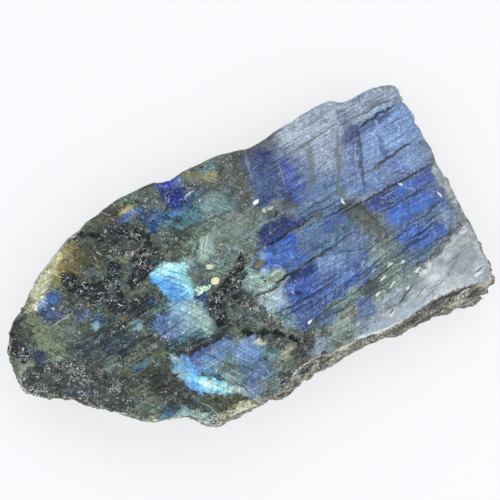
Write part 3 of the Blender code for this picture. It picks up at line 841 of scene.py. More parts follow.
# %% Lay the pale and the dark places
PALES = [
    (-15, -3.6, 4.6, 4.4, 0, "ice", 0.85), (-11.6, -5, 2.0, 4.6, 10, "milk", 0.9),
    (-20, -3, 3.4, 3.2, 0, "periwinkle", 0.35), (-2.2, 11, 3.6, 2.2, 55, "milk", 0.85),
    (6, 12.4, 5, 3.6, 0, "sage", 0.5), (-3.4, 27.4, 2.8, 3.6, 10, "indigo", 0.3),
    (5, -3, 3.6, 2.0, -20, "milk", 0.7), (6, -9, 4.6, 2.8, 4, "mist", 0.65),
    (11, -4.2, 1.5, 1.2, 0, "mint", 0.7), (-36.8, 5, 1.3, 0.9, 40, "ice", 0.9),
    (-27.2, 0.2, 1.6, 0.8, -30, "sea", 0.4), (-42, 24, 8, 2.4, 33, "tan", 0.5),
    (-48, 18.6, 4.2, 1.4, 30, "tan", 0.25), (-12.8, -31.2, 2.2, 0.9, 0, "cream", 0.4),
    (-25, -28, 4.4, 1.8, -28, "milk", 0.7), (-22, -11.8, 1.8, 1.4, -40, "sea", 0.7),
    (4, -23.2, 2.6, 1.4, 20, "tan", 0.55), (12, -26, 3.4, 2.0, -10, "fog", 0.7),
    (-58.6, 3, 2.6, 3, 0, "khaki", 0.7), (-49, 7.5, 3.2, 4.2, 0, "khaki", 0.5),
    (-45, 16.4, 3, 1.4, 12, "periwinkle", 0.2), (-34, -18, 3, 1.6, -10, "khaki", 0.5),
    (-36.6, -24.2, 3.4, 1.2, -24, "tan", 0.7), (-8.4, -29, 2, 1, -30, "periwinkle", 0.6),
    (-4.4, -28.6, 3.4, 1.6, 0, "sage", 0.6), (2.8, 29.8, 3, 1.2, -10, "khaki", 0.5),
    (4, 13.4, 7, 4.4, 10, "sage", 0.45), (4, 18.6, 7, 2.4, -3, "sea", 0.4),
    (-7.6, 4.4, 2, 2.6, 0, "sage", 0.3), (-40, 20.6, 3.4, 1.4, 34, "straw", 0.7),
    (-8.4, -15.4, 2.4, 1.2, 20, "sky", 0.5), (-13, -11.8, 5.4, 0.8, 4, "ink", 0.8),
    (-20.4, -11.2, 1.8, 1.0, 0, "ink", 0.8), (-24.4, 5, 3.4, 2.2, 0, "ink", 0.9),
    (-36, 1, 5, 2.0, 0, "deep_teal", 0.6), (-22, 24.4, 4, 2.0, 10, "ink", 0.8),
    (-25.6, 28, 3, 1.8, -30, "peat", 0.9), (-1, -17.8, 1.5, 0.6, -20, "cream", 0.8),
    (-16, 29.6, 2.4, 0.5, 0, "cream", 0.5), (-44, 7, 2.6, 1.8, 0, "sage", 0.6),
    (-32, 18.4, 1.6, 1.2, 0, "ash", 0.8), (-34, 27, 3, 1.3, 28, "straw", 0.7),
    (-3, -8, 2.4, 2, 0, "sage", 0.3), (-12.4, -23, 1.6, 1.2, -30, "milk", 0.7),
    (-23.2, -15.6, 0.8, 1.6, 20, "ice", 0.7), (-5, -25, 1.6, 1.0, 0, "periwinkle", 0.5),
]
DARKS = [
    (17, -6.2, 4, 1.1, 4, "navy", 1.0), (16, 7.5, 4.4, 1.7, 6, "navy", 0.85),
    (-13.4, -13.4, 5.6, 0.6, 4, "slate", 0.8), (2, -20, 2.6, 1.8, 0, "peat", 0.75),
    (-54, 12, 2.6, 2, 40, "peat", 0.8), (46, 21, 1.8, 1.1, 40, "navy", 0.6),
    (22, 29, 4.4, 1.2, 6, "soot", 0.5), (22.4, 12, 1.8, 1.4, 0, "soot", 0.6),
    (-34, 22, 5, 2.6, 20, "brown", 0.8), (-27.4, 22, 2.4, 1.8, 0, "peat", 0.8),
    (-32.6, -3.2, 4, 1.4, 4, "deep_teal", 0.7), (-27, -17.6, 4, 2.6, -40, "peat", 0.7),
    (37.6, 3.4, 2.6, 0.6, -40, "soot", 0.7), (39.8, -0.4, 2.8, 0.5, -74, "ink", 0.7),
    (40.9, -6, 4, 0.4, -86, "soot", 0.8), (38.6, -2.4, 2.2, 4, 10, "moss", 0.6),
    (-46, -4, 3, 2, 0, "ink", 0.35), (30.8, -18, 2.4, 1.3, 4, "soot", 0.7), (-31, 3, 9, 6, 0, "ink", 0.2),
    (-21, 22, 8, 7, 0, "ink", 0.18), (-2, -6, 8, 7, 0, "ink", 0.14), (-38, -17, 3.6, 2.6, -30, "soot", 0.6),
    (-27, -6, 3.4, 2.4, 0, "moss", 0.7), (-27, 22, 2.8, 2.2, 0, "brown", 0.8),
    (8.6, -11.6, 1.8, 1.2, 0, "periwinkle", 0.7), (-20, -3, 2.6, 2.6, 0, "steel", 0.8),
    (17.4, 22, 4.6, 1.5, 76, "slate", 0.5), (-24.2, 5, 2.4, 1.6, 0, "ink", 0.9),
    (-22, 24.2, 3, 1.6, 10, "ink", 0.8), (-12, -20.4, 1.4, 1.0, 0, "olive", 0.7),
    (52.4, 21.4, 5.4, 0.9, 8, "slate", 0.7), (-13, -11.8, 5, 0.5, 4, "ink", 0.8),
    (2, 6, 1.8, 1.3, 0, "sage", 0.6), (-23.2, -15.8, 1.0, 2.2, 10, "ice", 0.9),
    (-36, 16, 1.4, 1.2, 0, "ink", 0.8), (-8, 6, 1.4, 1.6, 0, "ash", 0.5),
    (-20.2, -11, 1.6, 1.0, 0, "ink", 0.7), (-17, -31.4, 2.2, 1.0, -6, "olive", 0.6),
    (-48, 18.6, 2.6, 1.2, 30, "khaki", 0.4), (-33, -3, 4, 2.4, 4, "ink", 0.4),
    (2, 9.4, 2.0, 1.2, 0, "olive", 0.5), (-38, -17, 2.4, 1.8, -30, "ink", 0.5),
    (-27, 22, 2.6, 2, 0, "peat", 0.6), (-22, 18.5, 1.4, 1.0, 0, "khaki", 0.6),
    (-12, -20.4, 1.4, 0.9, 0, "moss", 0.5), (-30, 27, 3, 1.6, -10, "brown", 0.6),
    (-24, -1, 3, 2, 0, "ink", 0.35), (-44, 3, 4, 2, 0, "moss", 0.3), (20.5, 26, 4, 2.4, 0, "navy", 0.65),
    (21, 21.6, 2.6, 2.6, 0, "navy", 0.4), (24, 25, 2, 2.4, 0, "navy", 0.5),
    (31, 22, 2.2, 4, -24, "smoke", 0.35), (26, -12, 3, 1.4, 8, "sky", 0.6),
    (-13, -16.2, 2.4, 1.3, 0, "denim", 0.85), (-9, -16, 2.2, 1.4, 0, "steel", 0.9),
    (-16, -18, 1.6, 1.3, 0, "azure", 0.4), (-10.4, -24, 1.6, 1.6, 0, "milk", 0.5),
    (-1, 30.4, 1.6, 1.2, 0, "periwinkle", 0.6), (4, 23, 3.6, 1.6, 0, "sage", 0.7),
    (5, 20.4, 3.4, 1.8, 0, "milk", 0.45), (-40, 4, 3, 2, 0, "ash", 0.35),
    (-34, -20, 3, 1.4, -30, "sage", 0.4), (-22, 29, 3, 1.4, 0, "brown", 0.7),
    (-10, 30, 2.4, 1.2, 0, "ash", 0.5), (-30, -14, 3, 2, 0, "deep_teal", 0.3),
    (-1, -14.5, 1.2, 0.9, 0, "ash", 0.6), (-44, -10, 2.4, 2.4, 0, "slate", 0.25),
    (-58, 3, 1.8, 2, 0, "sage", 0.4), (8, -16, 1.4, 1.6, 0, "sea", 0.4),
    (14, -10, 2.6, 1.6, 4, "royal", 0.5), (-22.2, -12, 1.2, 1.2, -30, "ice", 0.6),
    (-4, -29, 1.8, 1.0, 0, "sage", 0.5), (-22.5, -19, 0.9, 1.2, 10, "sky", 0.4),
    (-20, -27, 2, 1, -20, "ash", 0.4), (-35, 23, 5, 2.4, 20, "gold", 0.22),
    (-7, -20, 1.6, 1.4, 0, "steel", 0.3), (15, -13, 2.4, 1.4, 4, "indigo", 0.35),
    (-4, 23, 3, 1.2, 4, "periwinkle", 0.3), (-22, 29.4, 4, 1.6, 0, "brown", 0.4),
    (31, -1.5, 4, 2, 4, "deep_teal", 0.35), (9.4, 2, 1.6, 1.2, 0, "milk", 0.55),
    (40, -8, 1.6, 3, 0, "moss", 0.5), (36, -12, 3, 1.6, 8, "milk", 0.35),
    (20.5, -22, 3, 1.1, 20, "milk", 0.5), (2, -7, 1.8, 1.4, 0, "moss", 0.5),
    (9, -8, 1.2, 1.0, 0, "milk", 0.5), (-22, 20, 1.6, 1.2, 0, "sage", 0.4),
    (-18, 28, 1.8, 1.2, 0, "slate", 0.5), (-25, 24, 2.2, 1.6, 0, "peat", 0.5),
    (-10, 20, 2.6, 1.2, 3, "deep_teal", 0.6), (-8, 10, 1.4, 1.6, 20, "milk", 0.5),
    (-2, 6, 1.6, 1.2, 0, "milk", 0.4), (-12, 14, 1.8, 1.4, 0, "moss", 0.4), (-34, 0, 5, 1.8, 4, "ink", 0.3),
    (-26, 14, 1.4, 1.2, 0, "ink", 0.4), (24, 29.8, 4, 0.9, 4, "soot", 0.6),
    (27, -16, 3, 1.2, 8, "sage", 0.4), (-14, -17.5, 1.8, 1.3, 0, "ice", 0.5),
    (-13, -31, 1.6, 0.9, -6, "tan", 0.5), (-36.8, 5, 0.9, 0.9, 0, "milk", 0.5),
    (-22.5, -19, 1.2, 1.4, 10, "sky", 0.35), (-45.5, 13, 1.8, 1.6, 0, "periwinkle", 0.35),
    (-30, -25, 2.2, 1.4, -20, "sea", 0.4), (-16, 17, 1.4, 1.4, 0, "soot", 0.5),
    (-15, 28, 1.4, 1.0, 0, "fog", 0.45), (-44, -10, 2.4, 2.4, 0, "periwinkle", 0.25),
    (-38, -6, 2.4, 1.0, 3, "sage", 0.6), (24, -14.5, 1.8, 1.2, 8, "periwinkle", 0.5),
    (-58, 3, 1.8, 2, 0, "tan", 0.25),
]
colour = lay(PALES + DARKS, ROUND, marks_flash, SOFT, colour, fan_lines, 0.5)
colour = shaded(colour, wisps, 1.6)

# %% [markdown]
# ### Layers, cracks and spots
#
# The layers themselves show everywhere as hair-fine lines, which are streaked noise, cut off at a level.
# They are plainest on the side of the raw slope. Longer cracks follow them, others follow the second
# cleavage, and a few pale or rusty spots sit on the face, with small frost and mist dashes that are painted
# glints where edges catch the light. Those are patches again, the cracks very thin ones.

# %% Shade the face with the grain of its layers
LOW_SIDE = 10.0, -8.0  # across the stone, in mm
low_side = step(axis_of(flat, 1), *LOW_SIDE)
colour = shaded(colour, layer_swing, within(narrow_half, 1.2, 2.2))
colour = shaded(colour, fan_swing, product(narrow_half, 2.4))
colour = shaded(colour, swing(cloud_noise(solid, 0.5, detail=2.0, rough=0.6)), 1.2)
colour = shaded(colour, swing(cross_grain), within(low_side, 1.5, 0.7))
print("The low side starts at", LOW_SIDE[0], "mm")

# %% Rule the fine lines
fine = step(streaks(layers, 14.0, 0.26, 3), 0.55, 0.66)
pale = step(streaks(layers, 10.0, 0.3, 7), 0.6, 0.72)
colour = washed(colour, fine, within(low_side, 0.55, 0.25), "ink")
colour = washed(colour, pale, within(low_side, 0.4, 0.15), "mist")
print("Now the finish has", len(tree.nodes), "nodes")

# %% Draw the cracks
CRACKS = [
    (48, 3.8, 14, 0.4, 3, "ink", 0.9), (33.4, 4.5, 5, 0.3, 2, "ink", 0.8),
    (18.6, 5.0, 10, 0.4, 5, "ink", 0.9), (26, -3.9, 9, 0.3, 8, "ink", 0.8),
    (16, -5.0, 8, 0.42, 8, "ink", 0.95), (5.4, -6.8, 6, 0.34, 4, "ink", 0.85),
    (13, -12.8, 8, 0.34, 4, "navy", 0.85), (54, 22.8, 6.4, 0.34, 9, "ink", 0.9),
    (52, 25.0, 10, 0.34, 1, "moss", 0.7), (36, 24.6, 8, 0.4, 9, "olive", 0.7),
    (53.4, 11.5, 6.4, 0.4, 8, "ink", 0.85), (47, 10.4, 3, 0.4, 2, "moss", 0.7),
    (50, -0.9, 9, 0.34, 2, "ink", 0.7), (53, -6.6, 7, 0.3, 8, "ink", 0.75),
    (45, -8.8, 5, 0.26, 6, "ink", 0.7), (49.6, -10.6, 4, 0.34, 6, "ink", 0.85),
    (45, -12.8, 7, 0.26, 6, "navy", 0.8), (49, -14.8, 6, 0.26, 5, "navy", 0.7),
    (47.6, -17.6, 5, 0.3, 8, "soot", 0.8), (55, -15.6, 5, 0.3, 14, "soot", 0.7),
    (35, -10.4, 7, 0.24, 10, "moss", 0.7), (35, -13.6, 8, 0.26, 12, "moss", 0.7),
    (26, -9.4, 8, 0.24, 6, "steel", 0.6), (24, -11.8, 7, 0.2, 10, "navy", 0.6),
    (20, -16.2, 7, 0.26, 14, "navy", 0.7), (22, -19.4, 8, 0.26, 6, "soot", 0.7),
    (28, 8.2, 7, 0.24, 4, "soot", 0.6), (30, 6.6, 6, 0.24, 2, "navy", 0.7),
    (32, 5.6, 4, 0.2, 2, "soot", 0.6), (28, 1.0, 9, 0.24, 8, "slate", 0.6),
    (32, 18, 7, 0.8, 66, "ash", 0.75), (39.4, 16.4, 8.6, 0.7, 64, "ash", 0.75),
    (44.6, 13, 9, 0.5, 67, "soot", 0.7), (43, 14, 7, 0.3, 66, "slate", 0.6),
    (46.6, 19, 4, 0.5, 62, "soot", 0.6), (51.8, 15, 4, 0.8, 80, "slate", 0.6),
    (36, 14.4, 5, 0.3, 4, "ash", 0.6), (33, 16.8, 6, 0.18, 8, "steel", 0.6),
    (56, 15.2, 5, 0.26, 8, "steel", 0.6), (24.4, 20, 3.6, 0.2, 72, "fog", 0.4),
    (12.5, 9.7, 5, 0.34, 6, "sea", 0.6), (17.6, 25.4, 3, 0.4, 76, "sea", 0.6),
    (3, 24.3, 5, 0.3, 4, "moss", 0.8), (3, 17.3, 6, 0.3, -3, "moss", 0.8),
    (0.6, 25.9, 1.6, 0.22, 14, "frost", 0.8), (-15.4, 7.9, 3.4, 0.2, -12, "royal", 0.8),
    (-13.9, 8, 3.8, 0.2, -44, "royal", 0.7), (-13.3, 5.4, 3.4, 0.2, -50, "royal", 0.7),
    (-12.2, 8.6, 3, 0.16, -40, "steel", 0.7), (-13.4, 2, 3.2, 0.2, 4, "royal", 0.7),
    (-15, 5, 2.6, 0.2, -30, "royal", 0.6), (-14, -12.2, 6, 0.6, 4, "ink", 0.9),
    (-14, -10.7, 5.4, 0.3, 4, "ink", 0.8), (-33, -5.6, 5, 0.5, 4, "ink", 0.9),
    (-17, -18.4, 5, 0.18, -50, "royal", 0.6), (-14, -18, 5, 0.18, -46, "steel", 0.7),
    (-8, -24.4, 6, 0.24, 16, "slate", 0.7), (-10.4, -26, 3.4, 0.2, -60, "slate", 0.7),
    (-9, -27.4, 2.4, 0.16, -62, "ice", 0.7), (-22.8, -11, 2.0, 0.16, -50, "cream", 0.5),
    (-28, -14, 8, 0.26, -20, "ink", 0.8), (-33, -17.4, 7, 0.26, -10, "ink", 0.7),
    (-26, -21, 6, 0.3, -50, "ink", 0.8), (-38, 2.4, 8, 0.24, 6, "ink", 0.7),
    (-24, -5, 9, 0.26, 10, "ink", 0.7), (-44.4, 10.5, 3.4, 0.2, 6, "fog", 0.8),
    (-39.6, 11.8, 2.4, 0.14, 24, "fog", 0.4), (-26, 20.4, 3.4, 0.2, -58, "sage", 0.7),
    (-20, -28, 4, 0.2, -60, "fog", 0.6), (-10, 15, 7, 0.24, 8, "peat", 0.7),
    (-3.6, 11.4, 2.6, 0.12, 62, "mint", 0.8), (-1.6, 12.2, 2.6, 0.12, 55, "mint", 0.7),
    (-5.6, 12, 1.8, 0.12, 50, "mint", 0.6), (-2.6, 12.4, 1.8, 0.12, 60, "mint", 0.7),
    (-0.4, 12, 2.2, 0.12, 52, "ice", 0.6), (-30.6, 26, 5, 0.2, -40, "ink", 0.6),
    (0.6, -7.4, 2, 0.22, 80, "cream", 0.7), (30, -13.5, 10, 0.22, 10, "ink", 0.75),
    (20, -14.6, 7, 0.22, 9, "ink", 0.7), (34, -15.8, 9, 0.26, 10, "soot", 0.85),
    (22, -17.4, 8, 0.24, 8, "ink", 0.75), (38, -8.2, 6, 0.2, 8, "soot", 0.7),
    (48, -12, 6, 0.22, 6, "ink", 0.7), (46, -16, 6, 0.24, 8, "soot", 0.7),
    (52, -9.2, 5, 0.2, 6, "navy", 0.7), (12, -14.4, 5, 0.26, 6, "ink", 0.7),
    (14, -19, 5, 0.26, 8, "ink", 0.7), (31, 3.2, 5, 0.2, 6, "navy", 0.6),
    (24, -2.2, 7, 0.18, 4, "navy", 0.6), (30, -6.6, 6, 0.18, -18, "navy", 0.6),
    (28, -20.4, 7, 0.24, 10, "soot", 0.7), (37, -18, 6, 0.24, 12, "soot", 0.75),
    (-34, 0.6, 8, 0.5, 4, "ink", 0.7), (-36, -1.6, 9, 0.4, 3, "deep_teal", 0.8),
    (-30, -3.8, 7, 0.4, 5, "ink", 0.8), (-38, 3.6, 6, 0.3, 2, "ink", 0.6),
    (-28, 2.4, 5, 0.4, 4, "ink", 0.6), (-26, -7.6, 5, 0.3, 6, "ink", 0.7), (-45, -1, 5, 0.4, 0, "ink", 0.6),
    (-20, -7, 6, 0.24, 6, "slate", 0.7), (-18, -9.6, 6, 0.4, 4, "soot", 0.7),
]
colour = lay(CRACKS, ROUND, marks_plain, FIRM, colour)

# %% Dot the spots and paint the glints
# The frost and mist dashes are painted glints where edges catch the light; the other spots are the stone's
# own.
SPOTS_AND_GLINTS = [
    (-4, 1.8, 0.9, 0.9, 0, "cream", 0.95), (-3.6, 5.8, 1.0, 0.8, 0, "cream", 0.8),
    (-29.4, 3.5, 0.6, 0.5, 0, "gold", 0.5), (14.9, 16.1, 0.9, 0.5, 6, "frost", 0.95),
    (35.5, 6.3, 0.3, 0.7, 10, "frost", 0.9), (-21, 18.6, 0.9, 0.7, 0, "straw", 0.6),
    (7.6, 0.6, 1.9, 1.2, 10, "brown", 0.85), (8.4, 0.8, 1.0, 0.6, 10, "gold", 0.6),
    (9, -4.2, 1.0, 0.6, -10, "gold", 0.6), (11.2, -4.4, 1.2, 0.9, 0, "khaki", 0.8),
    (7, -2.9, 0.6, 0.4, 0, "ink", 0.9), (7.4, -4.1, 0.4, 0.4, 0, "ink", 0.9),
    (13.3, -10.4, 0.6, 0.6, 0, "ink", 0.9), (18.4, 10.9, 0.9, 0.5, 30, "ink", 0.9),
    (16, 13, 0.6, 0.4, 0, "tan", 0.9), (18, 13, 0.8, 0.5, 0, "tan", 0.8),
    (12.4, -6.2, 1.6, 0.25, 20, "mist", 0.4), (13, -18.9, 0.7, 0.4, 30, "frost", 0.9),
    (32, -11, 0.8, 0.35, 20, "mist", 0.6), (-3, -24.4, 0.13, 1.9, 8, "ice", 0.8),
    (-30.4, 6.4, 0.9, 0.6, 30, "frost", 0.8), (-18.8, -11.2, 0.9, 0.6, 0, "ash", 0.8),
    (47, 2.4, 1.6, 0.2, 6, "mist", 0.6), (45, 2.1, 0.8, 0.2, -30, "mist", 0.5),
    (51, 3.4, 0.9, 0.2, -50, "frost", 0.7), (52.6, 1.2, 1.4, 0.2, -50, "mist", 0.6),
    (59, -4, 0.3, 1.0, 20, "frost", 0.8), (-36.8, 5, 1.2, 0.8, 40, "ice", 0.7),
    (-31, -9.5, 1.8, 0.8, 0, "sea", 0.35), (17, -6.3, 2.8, 0.8, 4, "navy", 0.6),
    (-27, 22, 1.8, 1.4, 0, "peat", 0.6), (-23, -16, 0.8, 1.5, 10, "ice", 0.7),
    (-20, -11, 1.2, 0.7, 0, "ink", 0.5), (2, -20, 1.6, 1.0, 0, "peat", 0.45),
    (-8, 6, 1.0, 1.3, 0, "olive", 0.5), (-58, 3, 1.4, 1.6, 0, "sage", 0.45),
    (-16, 17, 1.2, 1.0, 0, "ink", 0.3), (-27, 0, 1.0, 0.7, -30, "milk", 0.6),
    (35, -17, 0.9, 0.35, 20, "frost", 0.8), (38, -14.6, 0.7, 0.25, 10, "frost", 0.7),
    (33.6, -14, 0.6, 0.25, 20, "mist", 0.8), (41.4, -15.6, 0.7, 0.3, 14, "frost", 0.7),
    (28.6, -12.6, 0.5, 0.25, 10, "mist", 0.7), (44, -19, 0.8, 0.3, 20, "frost", 0.8),
    (36.4, -20, 1.2, 0.25, 24, "frost", 0.7), (31.6, -20.6, 0.8, 0.25, 16, "frost", 0.7),
    (28, -2, 1.2, 0.14, 40, "mist", 0.6), (36, 8.2, 1.4, 1.4, 0, "olive", 0.6),
    (27.6, 5.4, 1.0, 1.2, 0, "moss", 0.6), (-44.6, 14.2, 0.25, 0.25, 0, "frost", 0.8),
    (-9.6, -20.8, 1.6, 0.5, -30, "mauve", 0.7), (53, 21.4, 0.4, 0.7, 0, "ice", 0.8),
]
colour = lay(SPOTS_AND_GLINTS, ROUND, marks_plain, DOT, colour)

# %% [markdown]
# ### Raw rock
#
# The masks that shaped the stone also say where it is painted as raw rock, so that form and colour agree.
# They fade smoothly and a broken edge doesn't, so noise is added to each mask before it is cut off.


# %% Read the masks that were kept on the skin
def mask_of(name):
    return add("Attribute", {}, out=2, attribute_name=name)


ragged = product(swing(cloud_noise(solid, 1.1, detail=3.0, rough=0.65)), 1.1)


def torn(mask, low=0.35, high=0.65):
    """A mask with its edge broken up by noise."""
    return step(sum_of(mask, ragged), low, high)


pit_mask, crazed_mask = torn(mask_of("pit")), torn(mask_of("crazed"))
shoulder_mask, broken_mask = torn(mask_of("shoulder"), 0.25, 0.75), torn(mask_of("broken"), 0.3, 0.7)
rim_mask = product(step(mask_of("broken"), 0.03, 0.25), step(mask_of("broken"), 0.95, 0.6))
print("The paint reads the masks", list(masks))

# %% [markdown]
# Short pale dashes on the face are painted glints, where scuffs in the polish catch the light. They are
# streaked noise again, in the directions of the fans and of the second cleavage. Strewn evenly they would
# look like rain, so they come in clusters.

# %% Paint glints on the face
glint_dash_noise = streaks(turned(wispy, FAN), 1.3, 0.3, 17), streaks(turned(wispy, CROSS), 1.3, 0.3, 23)


def glint_dashes(low, high):
    """Short straight dashes in two directions."""
    return most(*(step(dashes, low, high) for dashes in glint_dash_noise))


clusters = patchy(solid, 2.6, 0.44, 0.6, detail=4.0, rough=0.6)
# Painted glints: frost dashes where scuffs in the polish catch the light.
painted_glints = product(glint_dashes(0.6, 0.68), clusters)
colour = washed(colour, painted_glints, within(narrow_half, 0.8, 0.4), "frost")

# %% [markdown]
# The hollows are charcoal, with thin bright squiggles and dashes that are painted glints where broken edges
# catch the light. The crazed places are like them, but greener and more open.

# %% Fill the hollows and the crazed places
charcoal = mix(patchy(wispy, 0.9, 0.46, 0.68, detail=3.0), PAINTS["ink"], PAINTS["soot"])
# Painted glints where broken edges in the hollows catch the light.
glint_filaments = most(squiggles(1.8, 0.024, 0.6), product(glint_dashes(0.64, 0.72), 0.9))
charcoal = washed(charcoal, glint_filaments, 0.9, "frost")
crazy = mix(patchy(wispy, 1.4, 0.42, 0.64, detail=4.0, rough=0.7), PAINTS["ink"], PAINTS["moss"])
crazy = washed(crazy, glint_dashes(0.56, 0.66), within(clusters, 1.0, 0.2), "frost")
colour = mix(product(crazed_mask, 0.88), colour, crazy)
colour = mix(product(pit_mask, 0.95), colour, charcoal)

# %% [markdown]
# The raw slope is grey rock with a painted silvery sheen, the light that its rough cleavage steps reflect,
# and its bright edges and squiggles are painted glints. Its patches, cracks and bright edges are large enough
# to be placed one by one. They are laid on a colour of their own, and the shoulder's mask then lays all of it
# over the rest.

# %% Colour the slope and paint its sheen
# The silver and mist patches are painted sheen, the frost one a painted glint, and the ash, pewter and fog
# ones the rock's own greys.
SLOPE_TONES_AND_SHEEN = [
    (46.5, -22, 3.6, 3.6, 0, "silver", 0.6), (50, -26.6, 7, 1.6, 3, "silver", 0.7),
    (38, -27.4, 7, 1.8, 3, "mist", 0.9), (38, -22.6, 4, 2.6, 20, "ash", 0.6),
    (58, -17, 2.6, 1.2, 14, "silver", 0.6), (60.4, -8, 1.2, 9, 0, "ash", 0.75),
    (55, -21.6, 4.4, 3.4, 0, "pewter", 0.8), (27, -27.6, 5, 1.6, 6, "fog", 0.8),
    (45.4, -18.4, 2, 0.8, 10, "frost", 0.7),
]
# The frost lines along the slope's foot are painted highlights where the wall's rim catches the light, and
# the other frost marks are painted glints; the soot, ink and ash lines are cracks and the tan ones the
# stone's own colour.
SLOPE_LINES_AND_GLINTS = [
    (17, -27.3, 3, 0.3, 12, "frost", 0.8), (22, -28.2, 2.4, 0.3, -20, "frost", 0.8),
    (27, -29.2, 3, 0.3, -6, "frost", 0.8), (33, -29.5, 4, 0.25, 2, "frost", 0.7),
    (46, -27.9, 5, 0.25, 2, "frost", 0.7), (53.6, -29, 3, 0.25, -16, "frost", 0.6),
    (33, -23.2, 3.4, 0.26, 22, "soot", 0.85), (36, -22.4, 4, 0.24, 16, "ink", 0.8),
    (38.4, -23.4, 3, 0.22, 30, "ink", 0.8), (35, -24.8, 3, 0.22, 18, "soot", 0.8),
    (34, -22.7, 1.0, 0.4, 16, "frost", 0.8), (39.2, -21.8, 1.0, 0.5, 50, "frost", 0.9),
    (32.4, -26.2, 1.6, 0.3, 30, "frost", 0.7), (32.8, -25.7, 2, 0.2, 30, "soot", 0.8),
    (42, -24.8, 3, 0.2, 20, "ash", 0.8), (45.6, -19.6, 2.2, 0.9, 10, "frost", 0.6),
    (46, -23, 2.4, 0.9, 10, "frost", 0.4), (57.4, -27.4, 1.2, 0.4, 14, "frost", 0.8),
    (58, -26.6, 1.6, 0.2, 10, "soot", 0.7), (54.6, -17.2, 2, 0.4, 14, "tan", 0.6),
    (58.6, -17.8, 1.4, 0.8, 0, "tan", 0.5), (59.4, -15, 1.2, 0.7, 20, "frost", 0.7),
    (51, -17.6, 2.6, 0.3, 20, "soot", 0.7), (54, -21, 3, 0.2, 8, "ash", 0.7),
    (48, -24.8, 4, 0.18, 12, "ash", 0.6), (52, -23, 3, 0.2, 30, "ash", 0.6),
    (43.6, -26.6, 3, 0.18, 16, "ash", 0.6),
]
# The slope's ground runs from pewter rock to silver painted sheen.
grey_sheen_clouds = patchy(solid, 3.0, 0.42, 0.62, detail=5.0, rough=0.7)
slope_colour_and_sheen = mix(grey_sheen_clouds, PAINTS["pewter"], PAINTS["silver"])
slope_colour_and_sheen = lay(SLOPE_TONES_AND_SHEEN, ROUND, marks_cloud, SOFT, slope_colour_and_sheen)
slope_colour_and_sheen = lay(SLOPE_LINES_AND_GLINTS, ROUND, marks_plain, FIRM, slope_colour_and_sheen)
slope_grain = streaks(layers, 5.0, 0.7, 13)
slope_colour_and_sheen = shaded(slope_colour_and_sheen, swing(slope_grain), 1.0)
slope_colour_and_sheen = shaded(slope_colour_and_sheen, swing(cloud_noise(solid, 0.8, detail=4.0, rough=0.7)), 1.0)
slope_colour_and_sheen = washed(slope_colour_and_sheen, step(slope_grain, 0.6, 0.7), 0.4, "soot")
# The bright squiggles are painted glints.
slope_colour_and_sheen = washed(slope_colour_and_sheen, squiggles(1.4, 0.02, 0.2), 0.5, "frost")
colour = mix(shoulder_mask, colour, slope_colour_and_sheen)

# %% [markdown]
# The broken sides are brown-grey, with a few darker and paler places on the wall under the slope, and a long
# dark line just under the wall's rim that is painted shadow. They have tiny faces that happen to flash. They
# could be specks of geometry, but there are thousands: a few cells of a fine Voronoi pattern, picked by their
# own random colour, are made bright instead, as painted glints. Each larger cell of another Voronoi pattern
# is made lighter or darker, as painted light and shade on facets turned differently to the light.


# %% Make glitter
def glitter(size, share, seed):
    """Small bright dots: this share of the cells of a Voronoi pattern."""
    moved = add("VectorMath", {0: solid, 1: (seed, seed, seed)}, operation="ADD")
    cells = {"Vector": moved, "Scale": 1.0 / size}
    near = step(add("TexVoronoi", cells), 0.42, 0.2)
    lucky = step(axis_of(add("TexVoronoi", cells, out=1), 0), 1.0 - share, 1.0 - 0.8 * share)
    return product(near, lucky)


# %% Colour the broken sides
# The first line, in ink just under the wall's rim, is painted shadow; the rest are the rock's own darker and
# paler places.
ROCK_TONES_AND_RIM_SHADOW = [
    (49, -29.3, 7, 0.5, -3, "ink", 0.9), (52.6, -29.9, 1.4, 0.2, 0, "frost", 0.7),
    (57.6, -31, 1.8, 1.1, 0, "tan", 0.6), (48.4, -32.2, 2, 0.4, 10, "tan", 0.5),
    (44.6, -30.2, 3, 0.8, 4, "soot", 0.7), (52, -34.2, 4, 0.2, 4, "silver", 0.4),
    (34, -31, 6, 0.7, 3, "soot", 0.6), (42, -32.6, 5, 0.5, 3, "ink", 0.7),
    (54.6, -31.8, 2, 0.6, 20, "ink", 0.7), (18, -28.8, 3, 0.5, 0, "tan", 0.8),
    (24.6, -29.4, 1, 0.5, 0, "ink", 0.8), (27.4, -29.6, 0.8, 0.4, 0, "tan", 0.8),
]
rock = mix(patchy(solid, 1.5, 0.38, 0.56, detail=5.0, rough=0.75), PAINTS["soot"], PAINTS["rock"])
for mask, strength, paint in (
    (patchy(solid, 5.0, 0.5, 0.7, detail=3.0), 0.5, "brown"),
    (patchy(solid, 0.8, 0.5, 0.6, detail=4.0, rough=0.75), 0.75, "tan"),
    (glitter(0.7, 0.1, 19), 0.9, "frost"),
):
    rock = washed(rock, mask, strength, paint)
height = sum_of(axis_of(solid, 2), product(ragged, 7.0))
near_rim = product(step(height, 12.0, 15.0), step(axis_of(flat, 1), -29.0, -26.0))
rock = mix(product(near_rim, 0.65), rock, mix(narrow_half, PAINTS["pewter"], PAINTS["khaki"]))
rock = lay(ROCK_TONES_AND_RIM_SHADOW, ROUND, marks_plain, FIRM, rock)
# Painted light and shade: each facet cell is made lighter or darker, as broken faces turned differently to
# the light look.
facet_light_and_shade = add("TexVoronoi", {"Vector": scaled(solid, 0.22, 0.4, 0.5), "Scale": 1.0}, out=1)
rock = shaded(rock, swing(axis_of(facet_light_and_shade, 0)), 0.9)
colour = mix(broken_mask, colour, rock)

# %% [markdown]
# Between the polish and the broken sides runs the worn rim, pale and grainy: its frost grains are partly its
# own pale grain and partly painted glints where the worn edge catches the light. It has no mask of its own:
# it is where the mask of the broken sides has started and isn't complete.

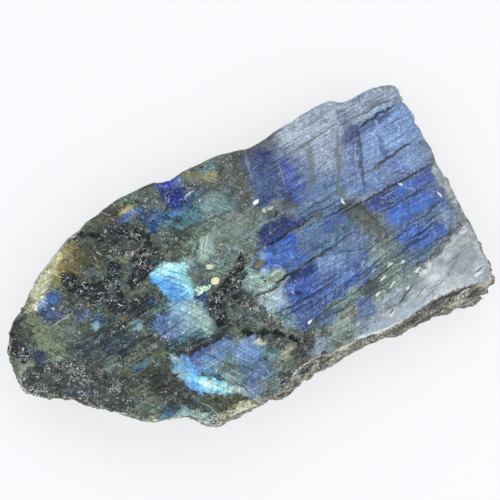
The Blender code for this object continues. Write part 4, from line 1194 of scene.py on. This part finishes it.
# %% Grain the worn rim and paint its glints
rim_grain_and_glints = product(patchy(solid, 0.6, 0.45, 0.6), patchy(solid, 6.0, 0.4, 0.6))
colour = washed(colour, product(rim_mask, rim_grain_and_glints), 0.8, "frost")

# %% [markdown]
# ### Polish and relief
#
# The same masks set how the surface takes light. The polished face is smooth, and its flashes are slightly
# metallic, because light comes back from mirrors inside them. Raw rock is dull, and a fine bump gives it
# grain. What is the same all over the stone is set on the shader itself.

# %% Set the polish and the relief
POLISHED = 0.26  # the roughness of the clean polished face
SMUDGED = 0.12  # what smudges add to it
RAW_ROUGHER = 0.3  # what raw rock adds to it
FLASH_METAL = 0.35  # how metallic the bluest flashes are
FACE_RELIEF = 0.12  # how deep the fine lines of the face are, against the grain of raw rock
GRAIN_DEPTH = 0.4 * MM
FELDSPAR_IOR = 1.56

raw = most(most(pit_mask, crazed_mask), most(shoulder_mask, broken_mask))
primaries = add("SeparateColor", {0: colour}).node.outputs
blueness = add("Math", {0: primaries["Blue"], 1: primaries["Red"]}, operation="SUBTRACT")
shine = step(blueness, 0.05, 0.7, FLASH_METAL)
smudges = step(cloud_noise(solid, 9.0, detail=3.0), 0.3, 0.7, SMUDGED)
roughness = sum_of(sum_of(POLISHED, smudges), product(raw, RAW_ROUGHER))
crumbs = add("TexVoronoi", {"Vector": solid, "Scale": 1.1})
grain_height = sum_of(cloud_noise(solid, 0.9, detail=4.0, rough=0.65), crumbs)
face_height = product(sum_of(fine, product(cloud_noise(solid, 6.0, detail=1.0), 1.5)), FACE_RELIEF)
relief_height = sum_of(product(grain_height, raw), face_height)
relief = add("Bump", {"Height": relief_height, "Strength": 0.7, "Distance": GRAIN_DEPTH})

finished = {"Base Color": colour, "Metallic": shine, "Roughness": roughness, "Normal": relief}
for socket, feed in finished.items():
    tree.links.new(feed, shader.inputs[socket])
shader.inputs["IOR"].default_value = FELDSPAR_IOR
shader.inputs["Specular IOR Level"].default_value = 0.3
stone.data.materials.append(finish)
print("The finish has", len(tree.nodes), "nodes")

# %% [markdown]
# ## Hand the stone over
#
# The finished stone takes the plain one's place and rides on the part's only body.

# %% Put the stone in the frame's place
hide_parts("labradorite_chunk")
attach(stone, "root")
